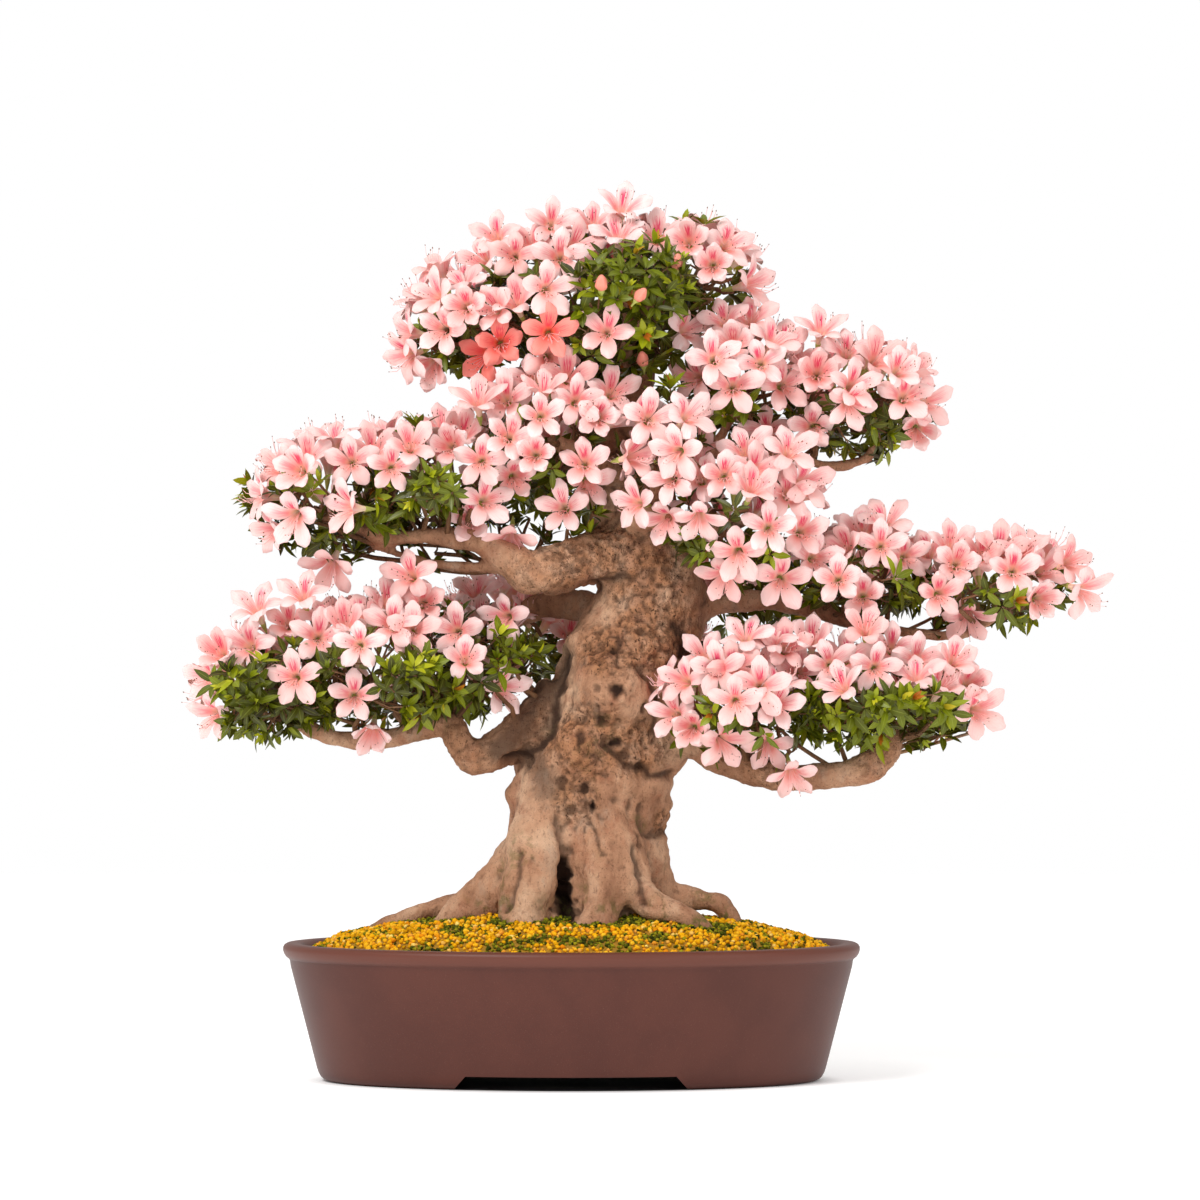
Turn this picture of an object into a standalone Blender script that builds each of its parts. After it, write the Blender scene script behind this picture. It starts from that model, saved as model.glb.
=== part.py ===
"""A satsuki azalea bonsai in flower, in an oval unglazed pot.

Metres, +Z up, the viewer looks along +Y. Every part is modelled about the middle of the pot's base, and
the whole object then hangs on one empty that puts the origin under the middle of its bounding box.
Lengths in the tables are millimetres, written as the real thing measures.
"""

import itertools
import math
import random

import bmesh
import bpy
from mathutils import Matrix, Vector, noise
from mathutils.bvhtree import BVHTree

MM = 0.001
UP = Vector((0, 0, 1))
GAP = 0.4 * MM  # between two pieces that rest on each other

# The middle of the whole object's bounding box, seen from the middle of the pot's base.
BOX_CENTRE = Vector((67.5 * MM, 4.5 * MM, 0))

# Pot: half lengths along X and half depths along Y of its oval, at the base and at the rim.
BASE_HALF_LENGTH, BASE_HALF_DEPTH = 226 * MM, 142 * MM
RIM_HALF_LENGTH, RIM_HALF_DEPTH = 258 * MM, 185 * MM
POT_HEIGHT = 124 * MM
WALL = 15 * MM
LIP_PROUD, LIP_HEIGHT = 3 * MM, 15 * MM
FOOT_HEIGHT, FOOT_WIDTH = 12.5 * MM, 24 * MM
FOOT_CUT_BOTTOM, FOOT_CUT_TOP = 202 * MM, 186 * MM
FLOOR = 10 * MM
DRAIN_X, DRAIN_RADIUS = 98 * MM, 14 * MM
OVAL_STEPS = 28

# Drain screen: a square of plastic mesh over each drain hole.
SCREEN_SIDE, SCREEN_THICK, SCREEN_CELLS = 42 * MM, 1.2 * MM, 5

# Soil: heights of the mound at these shares of the way from its middle to the pot's wall.
SOIL_PROFILE = ((0.0, 150), (0.4, 148), (0.68, 140), (0.88, 129), (1.0, 115))
SOIL_ROUGH, SOIL_GAP = 1.6 * MM, 1.6 * MM

# Eye point of the front view, which turns places read on the front elevation into places in depth.
EYE = Vector((26 * MM, -6.0, 432 * MM))

# Trunk and what grows from it: each limb is a line of (x, y, z, radius).
TRUNK_DEPTH_SHARE = 0.86
TRUNK = (
    (7, 0, 128, 76), (7, 0, 189, 70), (9, 0, 216, 65), (15, 0, 261, 68), (23, 0, 288, 72), (34, 0, 312, 68),
    (44, 0, 342, 66), (54, 0, 378, 61), (67, 0, 414, 52), (72, 0, 441, 48), (66, 0, 468, 46),
    (57, 5, 495, 39), (44, 10, 522, 31), (36, 10, 567, 24), (50, 10, 612, 20), (64, 6, 657, 15),
    (54, 0, 705, 10),
)
ROOTS = {
    "left toe": ((-24, -12, 207, 40), (-50, -18, 186, 29), (-78, -22, 164, 22), (-102, -25, 149, 15), (-120, -28, 132, 11)),
    "left runner": ((-60, 4, 172, 20), (-95, 6, 158, 11), (-127, 6, 152, 9), (-154, 4, 144, 7), (-182, 0, 134, 5)),
    "front left leg": ((-28, -40, 205, 34), (-34, -54, 170, 26), (-37, -62, 148, 19), (-38, -70, 128, 14)),
    "small left": ((-50, -45, 172, 14), (-57, -62, 156, 9), (-52, -78, 134, 7)),
    "front right leg": ((30, -42, 207, 36), (26, -56, 176, 27), (17, -68, 157, 19), (10, -82, 132, 11)),
    "front toe": ((22, -60, 165, 14), (2, -78, 146, 9), (-16, -88, 134, 6)),
    "right": ((44, -42, 192, 26), (66, -58, 166, 14), (93, -64, 153, 11), (115, -68, 142, 9), (128, -70, 130, 7)),
    "back right": ((62, 0, 196, 28), (84, 2, 168, 15), (115, 5, 162, 10), (137, 4, 155, 8), (152, 0, 132, 7)),
    "back": ((10, 45, 200, 38), (14, 78, 160, 22), (20, 115, 132, 10)),
    "back left": ((-25, 32, 200, 34), (-58, 66, 158, 17), (-92, 95, 132, 9)),
    "far back right": ((45, 38, 195, 30), (80, 72, 155, 15), (112, 96, 132, 9)),
}
BRANCHES = {
    "lower left": (
        (-10, -4, 345, 26), (-35, -14, 322, 21), (-62, -20, 300, 18), (-86, -22, 291, 16), (-100, -20, 303, 14),
        (-109, -15, 320, 12), (-132, -10, 317, 10), (-172, -10, 306, 9), (-215, -10, 308, 7), (-250, -14, 325, 5),
    ),
    "upper left": (
        (45, -12, 470, 31), (10, -28, 462, 24), (-18, -38, 452, 21), (-38, -42, 452, 17), (-58, -42, 468, 13),
        (-85, -40, 484, 11), (-125, -36, 489, 9), (-165, -32, 488, 8), (-205, -26, 500, 6), (-232, -20, 512, 5),
    ),
    "upper left second": ((-40, -30, 460, 8), (-85, -34, 461, 5.5), (-125, -32, 465, 5), (-172, -24, 480, 4), (-190, -20, 502, 4)),
    "back left": ((40, 25, 415, 17), (8, 46, 428, 14), (-25, 58, 427, 12), (-45, 70, 420, 10), (-62, 90, 408, 8)),
    "lower right": (
        (70, -10, 335, 26), (105, -20, 310, 19), (135, -30, 289, 15), (165, -42, 273, 13), (200, -50, 264, 11),
        (235, -52, 270, 10.5), (262, -52, 278, 10), (280, -50, 298, 8), (288, -50, 322, 6),
    ),
    "mid right": (
        (90, 12, 432, 18), (130, 5, 428, 11), (168, 2, 432, 9), (212, -2, 424, 7.5), (260, -4, 410, 6),
        (310, -5, 402, 5), (350, -6, 401, 4.5), (380, -8, 416, 4),
    ),
    "back right": ((120, 8, 430, 10), (140, 45, 434, 7), (152, 78, 440, 5)),
    "upper right": (
        (40, 5, 596, 15), (85, -5, 575, 10), (125, -10, 566, 8), (170, -14, 560, 6.5), (212, -18, 556, 5.5),
        (240, -18, 552, 5), (266, -18, 560, 4.5), (272, -16, 582, 4),
    ),
    "upper right second": ((125, -10, 566, 6), (140, -12, 590, 5), (150, -12, 608, 4)),
    "front right": ((60, -16, 505, 20), (72, -50, 508, 13), (100, -72, 500, 9), (132, -76, 500, 7)),
    "front right second": ((66, -40, 508, 9), (76, -62, 528, 7), (82, -72, 548, 5)),
    "front left": ((40, -5, 545, 16), (12, -34, 560, 10), (-12, -46, 572, 7)),
    "back": ((42, 18, 528, 15), (36, 66, 540, 10), (28, 100, 552, 7)),
    "back low": ((50, 22, 372, 18), (54, 74, 374, 11), (60, 106, 384, 7)),
    "crown left": ((56, 6, 650, 10), (10, 0, 672, 7), (-40, -4, 681, 6), (-74, -5, 682, 4)),
    "crown right": ((60, 2, 680, 9), (88, 0, 706, 6), (106, 0, 718, 4)),
}
# Burrs and healed swellings: (x, y, z, radius).
SWELLINGS = (
    (36, -42, 352, 38), (72, -6, 245, 21), (-46, -6, 257, 15), (88, 0, 424, 32), (80, -6, 292, 24), (10, -48, 300, 24),
    (-8, -30, 385, 22), (20, -50, 255, 20), (100, -12, 470, 20), (60, 40, 330, 36), (-20, 30, 290, 34),
)
TRUNK_VOXEL, TRUNK_TRIANGLES = 3.4 * MM, 1350
BARK_SWELL, BARK_SIZE = 2.6 * MM, 30 * MM

# Foliage pads. Each lobe is (x, y, z, half length, half depth, half height) of its outline in flower.
PADS = {
    "crown": ((26, 0, 707, 121, 122, 85), (-91, -5, 689, 77, 90, 58), (111, 0, 729, 68, 86, 58)),
    "upper_left": ((-217, -10, 527, 81, 105, 61), (-118, -18, 545, 90, 110, 61), (-19, -42, 583, 81, 100, 63)),
    "front_right": ((84, -75, 567, 52, 68, 66), (152, -75, 509, 77, 82, 67)),
    "upper_right": ((156, -8, 630, 68, 98, 67), (255, -14, 617, 81, 98, 63)),
    "mid_right": ((260, -5, 459, 72, 100, 52), (372, -10, 446, 86, 88, 47)),
    "lower_right": ((152, -60, 342, 83, 95, 58), (278, -48, 348, 104, 100, 54)),
    "lower_left": ((-271, -20, 360, 83, 92, 58), (-172, -20, 378, 99, 108, 70), (-82, 0, 382, 62, 84, 58)),
    "back_left": ((-64, 96, 408, 76, 78, 60),),
    "back_middle": ((62, 132, 388, 86, 74, 54),),
    "back_right": ((162, 88, 446, 74, 68, 50),),
    "back_upper": ((26, 126, 562, 112, 80, 62),),
}
CORE_SIDE, CORE_TOP, CORE_BOTTOM = 36, 38, 18  # how far the twiggy core stays inside the lobe
CORE_LINK = 22  # radius of the wood and leaves that join the cores of neighbouring lobes
MOUTH_INSET = 16  # the blooms' mouths lie this far inside the lobe's outline
RIM_RISE = 0.3  # least share of a lobe's depth at which a bloom seen from the front stands
LINK_STEPS = 6
CORE_VOXEL, CORE_TRIANGLES_A_LOBE = 6 * MM, 44

# Blooms that show from the front: (x, z) on the front elevation, then how far each faces right and up.
BLOOMS = {
    "crown": (
        (-70, 763, -0.3, 0.4), (-18, 772, 0, 0.25), (-51, 742, 0, 0.1), (-10, 742, 0.1, 0.1),
        (-21, 712, 0.2, 0), (-84, 740, -0.6, 0.3), (-96, 696, -0.1, 0.1), (-118, 675, -0.3, -0.1),
        (-72, 695, -0.3, 0.2), (-124, 706, -0.6, 0.4), (-153, 674, -0.9, 0.1), (-148, 651, -0.7, -0.3),
        (-129, 637, -0.3, -0.6), (30, 674, -0.1, 0.05), (-53, 705, -0.2, 0.7), (18, 779, 0, 0.6),
        (43, 779, 0.2, 0.7), (78, 762, 0.1, 0.5), (105, 756, 0, 0.2), (127, 734, 0, 0.1),
        (144, 754, 0.5, 0.3), (167, 717, 0.8, 0.2), (108, 677, 0.7, 0.3), (9, 756, 0.5, 0.4),
        (-38, 760, -0.2, 0.6),
    ),
    "upper_left": (
        (-60, 614, -0.2, 0.2), (-35, 630, 0, 0.2), (-4, 631, 0.1, 0.2), (-20, 650, 0.3, 0),
        (-27, 598, 0.1, 0), (6, 612, 0.2, 0.1), (24, 597, 0, 0.1), (38, 621, 0.1, 0.3),
        (-82, 557, 0, 0.05), (-33, 563, 0, 0.1), (11, 556, 0, 0.1), (-90, 505, 0, 0),
        (-9, 515, -0.3, 0.1), (-57, 580, 0, 0.2), (-51, 542, 0.1, -0.1), (18, 536, 0.3, -0.2),
        (-240, 563, -0.2, 0.4), (-244, 549, -0.4, 0.1), (-199, 557, -0.1, 0.15), (-162, 551, 0, 0.05),
        (-179, 572, 0, 0.5), (-145, 569, 0.1, 0.4), (-111, 573, -0.1, 0.2), (-98, 585, 0, 0.5),
        (-118, 593, -0.1, 0.8), (-207, 515, -0.8, 0.1), (-285, 527, -0.9, 0.1), (-273, 555, -0.7, 0.3),
        (-253, 504, -0.4, -0.4), (-273, 493, -0.8, -0.2), (-219, 458, -0.3, -0.7),
        (-76, 522, 0.2, 0.1), (-82, 598, -0.1, 0.7), (-55, 482, 0, -0.7),
    ),
    "front_right": (
        (72, 596, 0.2, 0.1), (60, 562, 0.7, 0.1), (93, 564, -0.2, -0.1), (54, 519, -0.6, 0),
        (87, 542, -0.2, 0.1), (117, 544, 0, 0.3), (138, 543, 0, 0.1), (166, 549, 0.1, 0.1),
        (115, 501, 0, -0.6), (149, 472, 0, -0.2), (135, 450, -0.3, -0.5), (177, 497, 0, 0.1),
        (196, 530, 0.1, 0.2), (208, 494, 0.2, 0.1), (189, 450, 0, 0), (222, 471, 0.2, 0.1),
        (156, 572, 0, 0.6), (211, 538, 0.5, 0.4), (190, 554, 0.3, 0.6), (82, 500, -0.2, -0.4),
    ),
    "upper_right": (
        (145, 663, 0, 0.15), (145, 625, 0, 0.1), (171, 646, 0.1, 0.1), (108, 632, -0.4, 0.1),
        (129, 646, 0, 0.2), (111, 590, 0, -0.4), (222, 637, 0.1, 0.1), (192, 626, 0.1, 0),
        (216, 587, 0, 0), (174, 583, -0.3, -0.1), (256, 626, 0.3, 0.1), (252, 607, 0.3, -0.3),
        (249, 659, 0.1, 0.5), (278, 652, 0.3, 0.4), (301, 617, 0.2, 0.2), (291, 635, 0.4, 0.4),
        (324, 611, 0.6, 0.2), (312, 584, 0.1, -0.2), (192, 668, 0.1, 0.6), (161, 686, 0, 0.6),
        (140, 679, -0.2, 0.5), (224, 673, 0.1, 0.7),
    ),
    "mid_right": (
        (278, 481, 0, 0.1), (303, 472, 0.1, 0.1), (262, 436, 0, 0), (332, 437, 0.1, 0),
        (423, 432, 0.2, 0), (453, 468, 0.6, 0.2), (463, 439, 0.7, -0.2), (398, 459, 0.1, 0.2),
        (406, 479, 0.2, 0.6), (431, 463, 0.4, 0.3), (368, 475, 0, 0.3), (342, 485, 0, 0.6),
        (321, 485, 0, 0.6), (261, 499, -0.1, 0.6), (282, 504, 0.1, 0.8), (243, 481, -0.4, 0.4),
        (241, 450, -0.1, 0.05), (386, 480, 0.1, 0.5), (348, 466, 0, 0.1), (357, 412, 0, -0.6),
    ),
    "lower_right": (
        (98, 360, -0.4, 0.1), (87, 329, -0.4, 0), (108, 316, -0.1, 0), (131, 370, -0.1, 0.1),
        (148, 372, 0.1, 0.1), (164, 380, 0, 0.3), (193, 391, 0.1, 0.3), (170, 354, 0, 0.1),
        (147, 340, 0, 0), (186, 338, 0.1, 0), (205, 368, 0.1, 0.1), (274, 371, 0, 0.1),
        (247, 382, -0.1, 0.3), (288, 392, 0, 0.4), (313, 379, 0.1, 0.1), (233, 374, 0, 0.2),
        (360, 357, 0.3, 0.2), (369, 332, 0.5, 0), (177, 297, 0, -0.4), (198, 274, 0.1, -0.7),
        (136, 305, 0.3, -0.3), (156, 394, 0, 0.7), (179, 396, 0, 0.8), (342, 374, 0.3, 0.5),
        (216, 396, 0, 0.7), (264, 394, 0, 0.6), (116, 387, -0.3, 0.5),
    ),
    "lower_left": (
        (-250, 362, -0.05, 0), (-196, 345, 0, 0), (-191, 392, 0, 0.1), (-228, 399, 0, 0.2),
        (-256, 413, -0.1, 0.4), (-293, 392, -0.3, 0.3), (-315, 383, -0.4, 0.4), (-332, 363, -0.7, 0.2),
        (-327, 327, -0.6, -0.3), (-132, 431, 0.1, 0.2), (-162, 412, 0, 0.2), (-143, 406, 0.1, 0.1),
        (-166, 434, 0, 0.6), (-204, 414, 0, 0.6), (-105, 404, -0.2, 0.1), (-95, 379, 0, 0.3),
        (-62, 416, -0.3, 0), (-60, 351, 0.5, -0.1), (-180, 310, 0, -0.6), (-221, 420, 0, 0.8),
        (-240, 423, -0.1, 0.7), (-279, 416, -0.3, 0.7), (-187, 428, 0, 0.8), (-145, 453, -0.2, 0.3),
    ),
    "back_left": ((0, 401, 0.2, 0.3),),
}
CORAL_BLOOMS = {"crown": ((-20, 672, 0, 0), (-64, 663, 0.1, 0), (-81, 650, -0.5, -0.3))}

THINNING = (0.68, 0.74, 0.8, 0.86, 0.92)  # shares of a fused node's triangles to bring it down to

BLOOM_RADIUS = 27 * MM
PETALS = 5
NOTCH_SHARE = 0.42  # of the bloom's radius
THROAT_DEPTH, NOTCH_DEPTH = 12 * MM, 4 * MM
BACK_SPACING = 45 * MM  # between the blooms that a rule sets on the back of the pads
BACK_PLACES = 240  # tried on each lobe
KIN_REACH = 80 * MM  # a bloom may slide to touch one that stands within this distance
PUSHES = (0, 3, 6, 10, 14, 19, 25)  # millimetres outwards that a bloom may move to find room
SLIDES = (0, 4, 8, 12, 16)  # millimetres towards its nearest neighbour
ROLLS = (0, 12, -12, 24, -24)  # degrees about its own axis
SIZES = (1.0, 0.9)  # of a bloom's radius
ALONE_COST, CROWD_COST = 36, 14  # of touching no other bloom, and of each one past the first, in millimetres moved

LEAF_LENGTH, LEAF_WIDTH = 29 * MM, 11 * MM
WHORLS = ((4, 35), (4, 50), (3, 60), (3, 70))  # leaves and their rise in degrees, tried in this order
WHORL_TURNS = 4
TUFT_SPACING = 35 * MM
TUFTS_TRIED_A_LOBE = 160


# Small helpers


def collection(name, hidden=False):
    made = bpy.data.collections.new(name)
    bpy.context.scene.collection.children.link(made)
    made.hide_render = hidden
    return made


def material(name, colour, roughness):
    made = bpy.data.materials.new(name)
    made.use_nodes = True
    shader = made.node_tree.nodes["Principled BSDF"]
    shader.inputs["Base Color"].default_value = (*colour, 1)
    shader.inputs["Roughness"].default_value = roughness
    shader.inputs["Metallic"].default_value = 0
    return made


def add_object(name, mesh, into, look=None):
    made = bpy.data.objects.new(name, mesh)
    into.objects.link(made)
    if look:
        mesh.materials.clear()
        mesh.materials.append(look)
    return made


def mesh_of(bm, name="shape"):
    mesh = bpy.data.meshes.new(name)
    bm.to_mesh(mesh)
    bm.free()
    return mesh


def apply_modifiers(obj):
    """Keeps the object's evaluated mesh and drops its modifiers."""
    graph = bpy.context.evaluated_depsgraph_get()
    mesh = bpy.data.meshes.new_from_object(obj.evaluated_get(graph))
    obj.modifiers.clear()
    obj.data = mesh
    return obj


def boolean(obj, operation, other, solver="MANIFOLD"):
    """Cuts or joins with one object, or with all the objects of a collection."""
    cut = obj.modifiers.new(operation, "BOOLEAN")
    cut.operation = operation
    cut.solver = solver
    if isinstance(other, bpy.types.Collection):
        cut.operand_type = "COLLECTION"
        cut.collection = other
    else:
        cut.object = other
    return apply_modifiers(obj)


def inflated(mesh, amount):
    """A copy of a mesh with its surface moved out along its normals."""
    bm = bmesh.new()
    bm.from_mesh(mesh)
    bm.normal_update()
    moved = [v.co + v.normal * amount for v in bm.verts]
    for vertex, place in zip(bm.verts, moved):
        vertex.co = place
    return mesh_of(bm)


def bodies_of(bm):
    """The faces of a mesh as one set for each separate body."""
    left, bodies = set(bm.faces), []
    while left:
        body, front = set(), [left.pop()]
        while front:
            face = front.pop()
            body.add(face)
            for edge in face.edges:
                for other in edge.link_faces:
                    if other in left:
                        left.remove(other)
                        front.append(other)
        bodies.append(body)
    return bodies


def keep_largest_body(obj):
    """Drops the loose scraps that a cut leaves."""
    bm = bmesh.new()
    bm.from_mesh(obj.data)
    biggest = max(bodies_of(bm), key=len)
    bmesh.ops.delete(bm, geom=[face for face in bm.faces if face not in biggest], context="FACES")
    bm.to_mesh(obj.data)
    bm.free()
    return obj


def crossings(bm):
    """How many pairs of a mesh's triangles cross without sharing a corner."""
    bm.faces.ensure_lookup_table()
    tree = BVHTree.FromBMesh(bm)
    corners = [{vertex.index for vertex in face.verts} for face in bm.faces]
    return sum(1 for a, b in tree.overlap(tree) if not corners[a] & corners[b])


def faults_of(mesh):
    """How many pairs of a mesh's triangles cross, or infinity when it isn't one closed body."""
    bm = bmesh.new()
    bm.from_mesh(mesh)
    bmesh.ops.triangulate(bm, faces=bm.faces)
    closed = all(len(edge.link_faces) == 2 for edge in bm.edges) and len(bodies_of(bm)) == 1
    crossed = crossings(bm)
    bm.free()
    return crossed if closed else math.inf


def thinned(obj):
    """Collapses the slivers that a union leaves, as far as no more of its faces cross than before."""
    whole = obj.data
    whole.calc_loop_triangles()
    before = faults_of(whole)
    for share in THINNING:
        decimate_to(obj, share * len(whole.loop_triangles))
        if faults_of(obj.data) <= before:
            return obj
        obj.data = whole
    return obj


def tree_of(mesh):
    bm = bmesh.new()
    bm.from_mesh(mesh)
    found = BVHTree.FromBMesh(bm)
    bm.free()
    return found


def decimate_to(obj, triangles):
    obj.data.calc_loop_triangles()
    fewer = obj.modifiers.new("Decimate", "DECIMATE")
    fewer.ratio = min(1.0, triangles / len(obj.data.loop_triangles))
    fewer.use_collapse_triangulate = True
    return apply_modifiers(obj)


def voxel_body(obj, voxel, smoothing=4):
    """Melts an object's overlapping shells into one skin."""
    melt = obj.modifiers.new("Remesh", "REMESH")
    melt.mode = "VOXEL"
    melt.voxel_size = voxel
    soften = obj.modifiers.new("Smooth", "SMOOTH")
    soften.factor = 0.5
    soften.iterations = smoothing
    return apply_modifiers(obj)


def catmull_rom(points, steps):
    """Points on a smooth line through the given ones."""
    padded = [points[0], *points, points[-1]]
    line = []
    for a, b, c, d in zip(padded, padded[1:], padded[2:], padded[3:]):
        for step in range(steps):
            t = step / steps
            line.append(
                0.5 * ((2 * b) + (c - a) * t + (2 * a - 5 * b + 4 * c - d) * t * t + (3 * b - a - 3 * c + d) * t**3)
            )
    return [*line, points[-1]]


# Pot, soil and drain screens


def oval(mesh):
    """Turns a round pot shape into an oval one: what is left of the wall's offset is kept along both axes."""
    for vertex in mesh.vertices:
        radius = math.hypot(vertex.co.x, vertex.co.y)
        if radius < 1e-7:
            continue
        share = vertex.co.z / POT_HEIGHT
        half_length = BASE_HALF_LENGTH + (RIM_HALF_LENGTH - BASE_HALF_LENGTH) * share
        half_depth = BASE_HALF_DEPTH + (RIM_HALF_DEPTH - BASE_HALF_DEPTH) * share
        inner = half_length - 2.2 * WALL
        if radius > inner:
            depth = half_depth - (half_length - radius)
        else:
            depth = radius * (half_depth - 2.2 * WALL) / inner
        vertex.co.y *= depth / radius
    return mesh


def turned(name, profile, into):
    """A turned solid from a profile of (radius, height), whose ends lie on the axis."""
    bm = bmesh.new()
    corners = [bm.verts.new((radius, 0, height)) for radius, height in profile]
    for a, b in zip(corners, corners[1:]):
        bm.edges.new((a, b))
    obj = add_object(name, mesh_of(bm, name), into)
    screw = obj.modifiers.new("Screw", "SCREW")
    screw.steps = screw.render_steps = OVAL_STEPS
    screw.use_merge_vertices = True
    screw.merge_threshold = 0.00005
    apply_modifiers(obj)
    bm = bmesh.new()
    bm.from_mesh(obj.data)
    bmesh.ops.remove_doubles(bm, verts=bm.verts, dist=0.01 * MM)
    bmesh.ops.recalc_face_normals(bm, faces=bm.faces)
    bm.to_mesh(obj.data)
    bm.free()
    return obj


def wall_radius(height):
    """The pot's outer half length at a height."""
    return BASE_HALF_LENGTH + (RIM_HALF_LENGTH - BASE_HALF_LENGTH) * height / POT_HEIGHT


def cylinder_cutter(x, radius, low, high, cutters):
    bm = bmesh.new()
    bmesh.ops.create_cone(
        bm, cap_ends=True, segments=16, radius1=radius, radius2=radius, depth=high - low,
        matrix=Matrix.Translation((x, 0, (low + high) / 2)),
    )
    return add_object("drain_cutter", mesh_of(bm), cutters)


def build_pot(look, parts, cutters):
    floor_top = FOOT_HEIGHT + FLOOR
    lip_low = POT_HEIGHT - LIP_HEIGHT
    profile = (
        (0, floor_top),
        (wall_radius(floor_top) - WALL, floor_top),
        (wall_radius(POT_HEIGHT) - WALL, POT_HEIGHT),
        (wall_radius(POT_HEIGHT) - 3 * MM, POT_HEIGHT),
        (wall_radius(POT_HEIGHT) + LIP_PROUD, POT_HEIGHT - 5 * MM),
        (wall_radius(lip_low) + LIP_PROUD, lip_low + 3 * MM),
        (wall_radius(lip_low), lip_low - 2 * MM),
        (wall_radius(5 * MM), 5 * MM),
        (wall_radius(0) - 3 * MM, 0),
        (wall_radius(0) - FOOT_WIDTH, 0),
        (wall_radius(0) - FOOT_WIDTH, FOOT_HEIGHT),
        (0, FOOT_HEIGHT),
    )
    pot = turned("pot", profile, parts)
    oval(pot.data)
    bm = bmesh.new()
    bmesh.ops.create_cube(bm, size=1)
    for vertex in bm.verts:
        width = FOOT_CUT_TOP if vertex.co.z > 0 else FOOT_CUT_BOTTOM + 4 * MM
        vertex.co.x *= width
        vertex.co.y *= 2 * RIM_HALF_DEPTH
        vertex.co.z = FOOT_HEIGHT if vertex.co.z > 0 else -1.5 * MM
    boolean(pot, "DIFFERENCE", add_object("foot_cutter", mesh_of(bm), cutters))
    for side in (-1, 1):
        drain = cylinder_cutter(side * DRAIN_X, DRAIN_RADIUS, 0, 2 * floor_top, cutters)
        boolean(pot, "DIFFERENCE", drain)
    pot.data.materials.clear()
    pot.data.materials.append(look)
    return pot


def build_screen(name, x, look, parts):
    """A square mesh with two by two holes, lying over a drain hole."""
    bm = bmesh.new()
    bmesh.ops.create_grid(bm, x_segments=SCREEN_CELLS, y_segments=SCREEN_CELLS, size=SCREEN_SIDE / 2)
    cell = SCREEN_SIDE / SCREEN_CELLS
    holes = []
    for face in bm.faces:
        column, row = (int((face.calc_center_median()[i] + SCREEN_SIDE / 2) / cell) for i in (0, 1))
        if column % 2 == 1 and row % 2 == 1:
            holes.append(face)
    bmesh.ops.delete(bm, geom=holes, context="FACES")
    screen = add_object(name, mesh_of(bm, name), parts, look)
    screen.location = (x, 0, FOOT_HEIGHT + FLOOR + GAP)
    thick = screen.modifiers.new("Solidify", "SOLIDIFY")
    thick.thickness = SCREEN_THICK
    thick.offset = 1
    return screen


def build_soil(look, parts, cutters, tree):
    floor_top = FOOT_HEIGHT + FLOOR
    radii = RIM_HALF_LENGTH - WALL
    edge = SOIL_PROFILE[-1][1] * MM
    side = wall_radius(edge) - WALL - SOIL_GAP
    foot = wall_radius(floor_top) - WALL - SOIL_GAP
    low = floor_top + GAP
    profile = [(share * side, height * MM) for share, height in SOIL_PROFILE]
    profile += [(foot, low), (0, low)]
    soil = turned("soil", profile, parts)
    oval(soil.data)
    for vertex in soil.data.vertices:
        inside = math.hypot(vertex.co.x / side, vertex.co.y / (RIM_HALF_DEPTH - WALL)) < 0.93
        if inside and vertex.co.z > edge:
            vertex.co.z += SOIL_ROUGH * noise.noise(vertex.co / (0.12 * radii))
    for screen_x in (-DRAIN_X, DRAIN_X):
        bm = bmesh.new()
        bmesh.ops.create_cube(bm, size=1)
        wide = SCREEN_SIDE + 4 * GAP
        for vertex in bm.verts:
            vertex.co = (
                screen_x + vertex.co.x * wide,
                vertex.co.y * wide,
                low + SCREEN_THICK + GAP if vertex.co.z > 0 else low - 4 * MM,
            )
        boolean(soil, "DIFFERENCE", add_object("screen_pocket", mesh_of(bm), cutters))
    boolean(soil, "DIFFERENCE", tree)
    keep_largest_body(soil)
    soil.data.materials.clear()
    soil.data.materials.append(look)
    return soil


# Trunk, roots and branches


def limb_mesh(line, steps=4):
    """A tube with its own radius at each point, as a closed mesh."""
    curve = bpy.data.curves.new("limb", "CURVE")
    curve.dimensions = "3D"
    curve.bevel_depth = MM
    curve.bevel_resolution = 3
    curve.use_fill_caps = True
    points = catmull_rom([Vector(point) for point in line], steps)
    spline = curve.splines.new("POLY")
    spline.points.add(len(points) - 1)
    for target, (x, y, z, radius) in zip(spline.points, points):
        target.co = (x * MM, y * MM, z * MM, 1)
        target.radius = radius
    obj = bpy.data.objects.new("limb", curve)
    bpy.context.scene.collection.objects.link(obj)
    bpy.context.view_layer.update()
    graph = bpy.context.evaluated_depsgraph_get()
    mesh = bpy.data.meshes.new_from_object(obj.evaluated_get(graph))
    bpy.data.objects.remove(obj)
    return mesh


def ball(bm, centre, radii, subdivisions=2):
    made = bmesh.ops.create_icosphere(bm, subdivisions=subdivisions, radius=1)
    for vertex in made["verts"]:
        vertex.co = Vector(centre) + Vector([vertex.co[i] * radii[i] for i in range(3)])


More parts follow.
